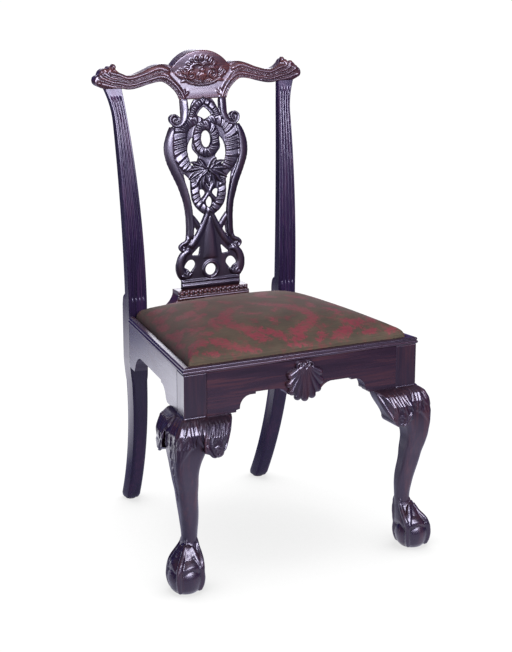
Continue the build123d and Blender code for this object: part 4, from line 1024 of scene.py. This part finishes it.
def weave_figure(pad):
    """The damask's leaves as strokes over the seat's plan, each a list of (x, y, half width)."""
    wreath = [[(-42, 192, 6), (-78, 174, 10), (-99, 150, 12), (-112, 120, 13), (-106, 96, 12), (-90, 77, 11),
               (-64, 69, 8)],
              [(-8, 200, 6), (22, 177, 10), (47, 157, 12), (62, 128, 12), (68, 98, 11), (62, 80, 10),
               (42, 67, 10), (20, 52, 10)]]
    foot = [[(-74, 58, 6), (-52, 58, 8), (-36, 52, 11), (-26, 42, 9)], [(4, 48, 10), (22, 52, 10)],
            [(-92, 62, 7), (-76, 46, 8), (-60, 40, 6)], [(-6, 30, 8), (14, 36, 8)]]
    heart = [[(-60, 150, 4), (-44, 136, 6), (-28, 132, 4)], [(20, 150, 4), (4, 138, 5)],
             [(-20, 108, 4), (-18, 86, 5)]]
    left = [[(-99, 298, 8), (-97, 268, 12), (-108, 240, 9), (-122, 226, 6)],
            [(-168, 220, 10), (-158, 206, 8)],
            [(-144, 224, 9), (-145, 204, 10), (-140, 190, 5)], [(-203, 244, 10), (-200, 218, 11)],
            [(-208, 62, 10), (-198, 58, 12), (-184, 60, 7)],
            [(-168, 56, 9), (-156, 48, 11), (-140, 36, 10), (-128, 24, 8)], [(-222, 44, 9), (-232, 28, 8)],
            [(-112, 22, 9), (-98, 14, 9)], [(-226, 104, 9), (-222, 86, 8)], [(-200, 22, 7), (-178, 18, 8)],
            [(-176, 96, 5), (-164, 84, 6)], [(-190, 150, 6), (-182, 132, 6)],
            [(-130, 142, 6), (-140, 122, 7), (-136, 100, 6)], [(-150, 300, 6), (-158, 274, 7)],
            [(-215, 180, 9), (-205, 152, 11), (-212, 124, 8)], [(-190, 292, 8), (-182, 262, 10)],
            [(-176, 340, 9), (-165, 316, 10)], [(-150, 388, 9), (-118, 394, 10)],
            [(-186, 112, 7), (-170, 118, 8)], [(-130, 182, 7), (-152, 172, 7)],
            [(-60, 398, 9), (-34, 400, 9)], [(-130, 342, 7), (-120, 322, 8)], [(-62, 250, 6), (-48, 232, 6)]]
    right = [[(100, 392, 11), (84, 366, 11), (66, 330, 9)],
             [(62, 300, 9), (50, 280, 12), (38, 258, 11), (54, 238, 9)],
             [(92, 240, 8), (104, 222, 11), (112, 202, 8)], [(128, 62, 9), (144, 55, 12), (160, 62, 7)],
             [(122, 40, 9), (106, 30, 10), (86, 22, 9)],
             [(184, 64, 9), (200, 74, 11), (214, 90, 11), (222, 114, 9)], [(222, 30, 10), (208, 18, 10)],
             [(150, 22, 8), (172, 26, 9)], [(120, 120, 7), (134, 106, 8), (128, 92, 6)],
             [(150, 160, 8), (162, 140, 8)], [(140, 232, 8), (150, 210, 7)], [(160, 300, 8), (152, 276, 8)],
             [(10, 340, 7), (-2, 318, 8)], [(100, 160, 6), (92, 140, 7)], [(-16, 16, 8), (8, 14, 7)],
             [(48, 22, 8), (60, 34, 7)]]
    # The cloth runs on down the sides, so that no leaf is drawn out there
    fullness, shoulder, edge = 1.2, RAIL_TOP + 33, 12
    places = []
    for vertex in pad.data.vertices:
        x, y, z = chair_place(vertex)
        drop = max(0.0, shoulder - z)
        if y - SEAT_FRONT < edge:
            y -= drop
        elif seat_half(y, 0) - abs(x) < edge:
            x += math.copysign(drop, x)
        places.append((x, y))
    places = np.array(places)
    distance = np.full(len(places), 1e3)
    for stroke in wreath + foot + heart + left + right:
        path, _ = smooth_path(stroke, 3.0)
        for x, y, half in path * [1, 1, fullness]:
            distance = np.minimum(distance, np.hypot(places[:, 0] - x, places[:, 1] - y) - half)
    figure = pad.data.attributes.new(FIGURE, "FLOAT", "POINT")
    figure.data.foreach_set("value", distance.astype(np.float32))


def stretched_cloth(name, inset, height, sag, slot, material, node):
    """A cloth tacked all round to the seat's plan, which sags a little in the middle."""
    count = 25
    points, faces = [], []
    for i in range(count):
        y = SEAT_FRONT + inset + (SEAT_REAR - SEAT_FRONT - 2 * inset) * i / (count - 1)
        for j in range(count):
            across = 2 * j / (count - 1) - 1
            hang = sag * (1 - across ** 2) * (1 - (2 * i / (count - 1) - 1) ** 2)
            points.append((across * seat_half(y, inset), y, height - hang))
    for i in range(count - 1):
        for j in range(count - 1):
            k = i * count + j
            faces.append((k, k + 1, k + count + 1, k + count))
    piece = mesh_object(name, points, faces)
    only(piece)
    bpy.ops.object.shade_smooth()
    finish_piece(piece, "slip_seat", slot, material, node)


def make_webbing():
    """Jute straps, three each way, laid over and under one another across the seat frame."""
    box_low, box_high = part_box("seat_webbing")
    low, high = box_low.z / MM, box_high.z / MM
    inset, half, thick = 14.8, 25.0, 1.5
    front, rear = SEAT_FRONT + inset, SEAT_REAR - inset
    rows = [front + (rear - front) * (j + 1) / 4 for j in range(3)]
    columns = [-112.0, 0.0, 112.0]
    step = high - low - thick - 0.1
    straps = []
    for lengthways, places, crossings in ((True, columns, rows), (False, rows, columns)):
        for i, place in enumerate(places):
            reach = (front, rear) if lengthways else (-seat_half(place, inset), seat_half(place, inset))
            rings = []
            for along in np.linspace(*reach, 61):
                weave = sum((1 if (i + j + lengthways) % 2 else -1) * math.exp(-((along - c) / 30) ** 4)
                            for j, c in enumerate(crossings))
                z = low + 0.05 + step * (0.5 + 0.5 * weave)
                ring = []
                for across, up in ((-half, 0), (half, 0), (half, thick), (-half, thick)):
                    x, y = (place + across, along) if lengthways else (along, place + across)
                    ring.append((x, y, z + up))
                rings.append(ring)
            straps.append(skin("strap", rings))
    piece = join("jute_webbing", straps)
    bpy.ops.object.shade_smooth_by_angle(angle=math.radians(40))
    finish_piece(piece, "slip_seat", "webbing", JUTE, "seat_webbing")


make_splat()
make_crest()
make_posts()
make_lips()
make_legs()
make_brackets()
make_shell()
make_shoe()
make_cushion()
make_webbing()
stretched_cloth("hessian_cloth", 10.8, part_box("seat_hessian")[1].z / MM - 0.1, 0.4, "hessian", HESSIAN,
                "seat_hessian")
stretched_cloth("dust_cloth", 36.0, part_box("seat_dust_cover")[1].z / MM - 0.1, 0.5, "dust_cloth", DUST,
                "seat_dust_cover")

# Plain CAD pieces take their materials
for name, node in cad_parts.items():
    if name in ("front_seat_rail", "rear_seat_rail"):
        material = WOOD_ACROSS
    elif name.startswith("side_seat_rail"):
        material = WOOD_BACK
    elif name.startswith(("corner_block_screws", "rear_foot_glides", "seat_tacks")):
        material = STEEL
    elif name.startswith(("corner_block", "seat_frame")):
        material = BEECH
    else:
        material = WOOD_UP
    node.data.materials.clear()
    node.data.materials.append(material)


# Studio: white paper under and behind, a wide softbox in front and small ones at the left, above and behind

def add_softbox(name, place, target, size, power, spread=180):
    """A rectangular lamp that faces a target and is not seen itself."""
    deselect()
    bpy.ops.object.light_add(type="AREA", location=place)
    lamp = bpy.context.active_object
    lamp.name = name
    lamp.data.shape = "RECTANGLE"
    lamp.data.size, lamp.data.size_y = size
    lamp.data.energy = power
    lamp.data.spread = math.radians(spread)
    lamp.visible_camera = False
    lamp.rotation_euler = (Vector(target) - Vector(place)).to_track_quat("-Z", "Y").to_euler()


deselect()
bpy.ops.mesh.primitive_plane_add(size=90)
floor = bpy.context.active_object
floor.name = "studio_floor"
paper, paper_tree, paper_shader, spot = new_material("white studio paper, lit from all round")
# The paper glows: to the camera white all over, with a painted shadow under the chair; for the chair it is
# cool blue-grey and glows in two painted pools of light, behind at the left and in front
seen = add(paper_tree, "ShaderNodeLightPath").outputs["Is Camera Ray"]
pools = []
for middle, reach, bright, faint in (((-1.1, 0.95, 0), 1.0, 5.2, 0.06), ((0.1, -0.65, 0), 1.15, 1.3, 0.05)):
    away = add(paper_tree, "ShaderNodeVectorMath", {"operation": "DISTANCE"}, i0=spot, i1=middle)
    pools.append(add(paper_tree, "ShaderNodeMapRange", Value=away.outputs["Value"], From_Min=0.3,
                     From_Max=reach, To_Min=bright, To_Max=faint).outputs[0])
painted_light_pools = add(paper_tree, "ShaderNodeMath", {"operation": "MAXIMUM"}, i0=pools[0], i1=pools[1]).outputs[0]
# Painted shadow: under the chair the paper's glow to the camera is dimmed by ambient occlusion
painted_shadow_occlusion = add(paper_tree, "ShaderNodeAmbientOcclusion", {"samples": 24}, Distance=0.55).outputs["AO"]
glow_with_painted_shadow = add(paper_tree, "ShaderNodeMapRange", Value=painted_shadow_occlusion, From_Min=0.45, From_Max=0.86, To_Min=0.77,
            To_Max=1.04).outputs[0]
tone = add(paper_tree, "ShaderNodeMix", {"data_type": "RGBA"}, i0=seen, i6=linear("#55558a"),
           i7=linear("#000000")).outputs[2]
shine = add(paper_tree, "ShaderNodeMix", {"data_type": "FLOAT"}, i0=seen, i2=painted_light_pools, i3=glow_with_painted_shadow).outputs[0]
fill(paper_tree, paper_shader, Base_Color=tone, Roughness=0.9, Specular_IOR_Level=0.0,
     Emission_Strength=shine, Emission_Color=linear("#ffffff"))
floor.data.materials.append(paper)

# The wall shows as white paper, but lights the chair less than that, with a cool cast
world = bpy.data.worlds.new("studio")
bpy.context.scene.world = world
world.use_nodes = True
wall = world.node_tree
seen = add(wall, "ShaderNodeLightPath").outputs["Is Camera Ray"]
ray = add(wall, "ShaderNodeTexCoord").outputs["Generated"]
height = add(wall, "ShaderNodeSeparateXYZ", i0=ray).outputs["Z"]
above = add(wall, "ShaderNodeMapRange", Value=height, From_Min=0.25, From_Max=0.8).outputs[0]
room = add(wall, "ShaderNodeMix", {"data_type": "RGBA"}, i0=above, i6=linear("#4c48a6"),
           i7=linear("#b0a8b8")).outputs[2]
glow = add(wall, "ShaderNodeMix", {"data_type": "RGBA"}, i0=seen, i6=room, i7=linear("#ffffff")).outputs[2]
fill(wall, wall.nodes["Background"], Color=glow, Strength=1.05)
add_softbox("front_softbox", (0.17, -2.67 + RAIL_FACE, 1.93), (0.1, 0.2, 1.1), (2.7, 0.8), 84, 76)
add_softbox("left_softbox", (-2.3, -1.5, 0.8), (0, 0.1, 0.3), (1.0, 1.0), 26)
add_softbox("top_softbox", (-0.3, -0.5, 2.8), (0, 0, 0.4), (1.2, 1.2), 12)
add_softbox("back_softbox", (0.9, 3.0, 1.2), (0, 0.2, 0.55), (1.6, 1.2), 26)
bpy.context.scene.view_settings.view_transform = "Standard"

# The camera's place, turn and lens were fitted to the chair's level lines and right angles in the photograph
camera_data = bpy.data.cameras.new("photograph's view")
camera = new_object("photograph's view", camera_data)
camera.location = (-1.40930, -2.53709 + RAIL_FACE, 1.26257)
camera.rotation_euler = (math.radians(90 - 13.6745), 0, math.radians(-26.5459))
camera_data.sensor_width = 36
camera_data.lens = 85.69
camera_data.shift_x = 0.0259
camera_data.shift_y = -0.0458
bpy.context.scene.camera = camera
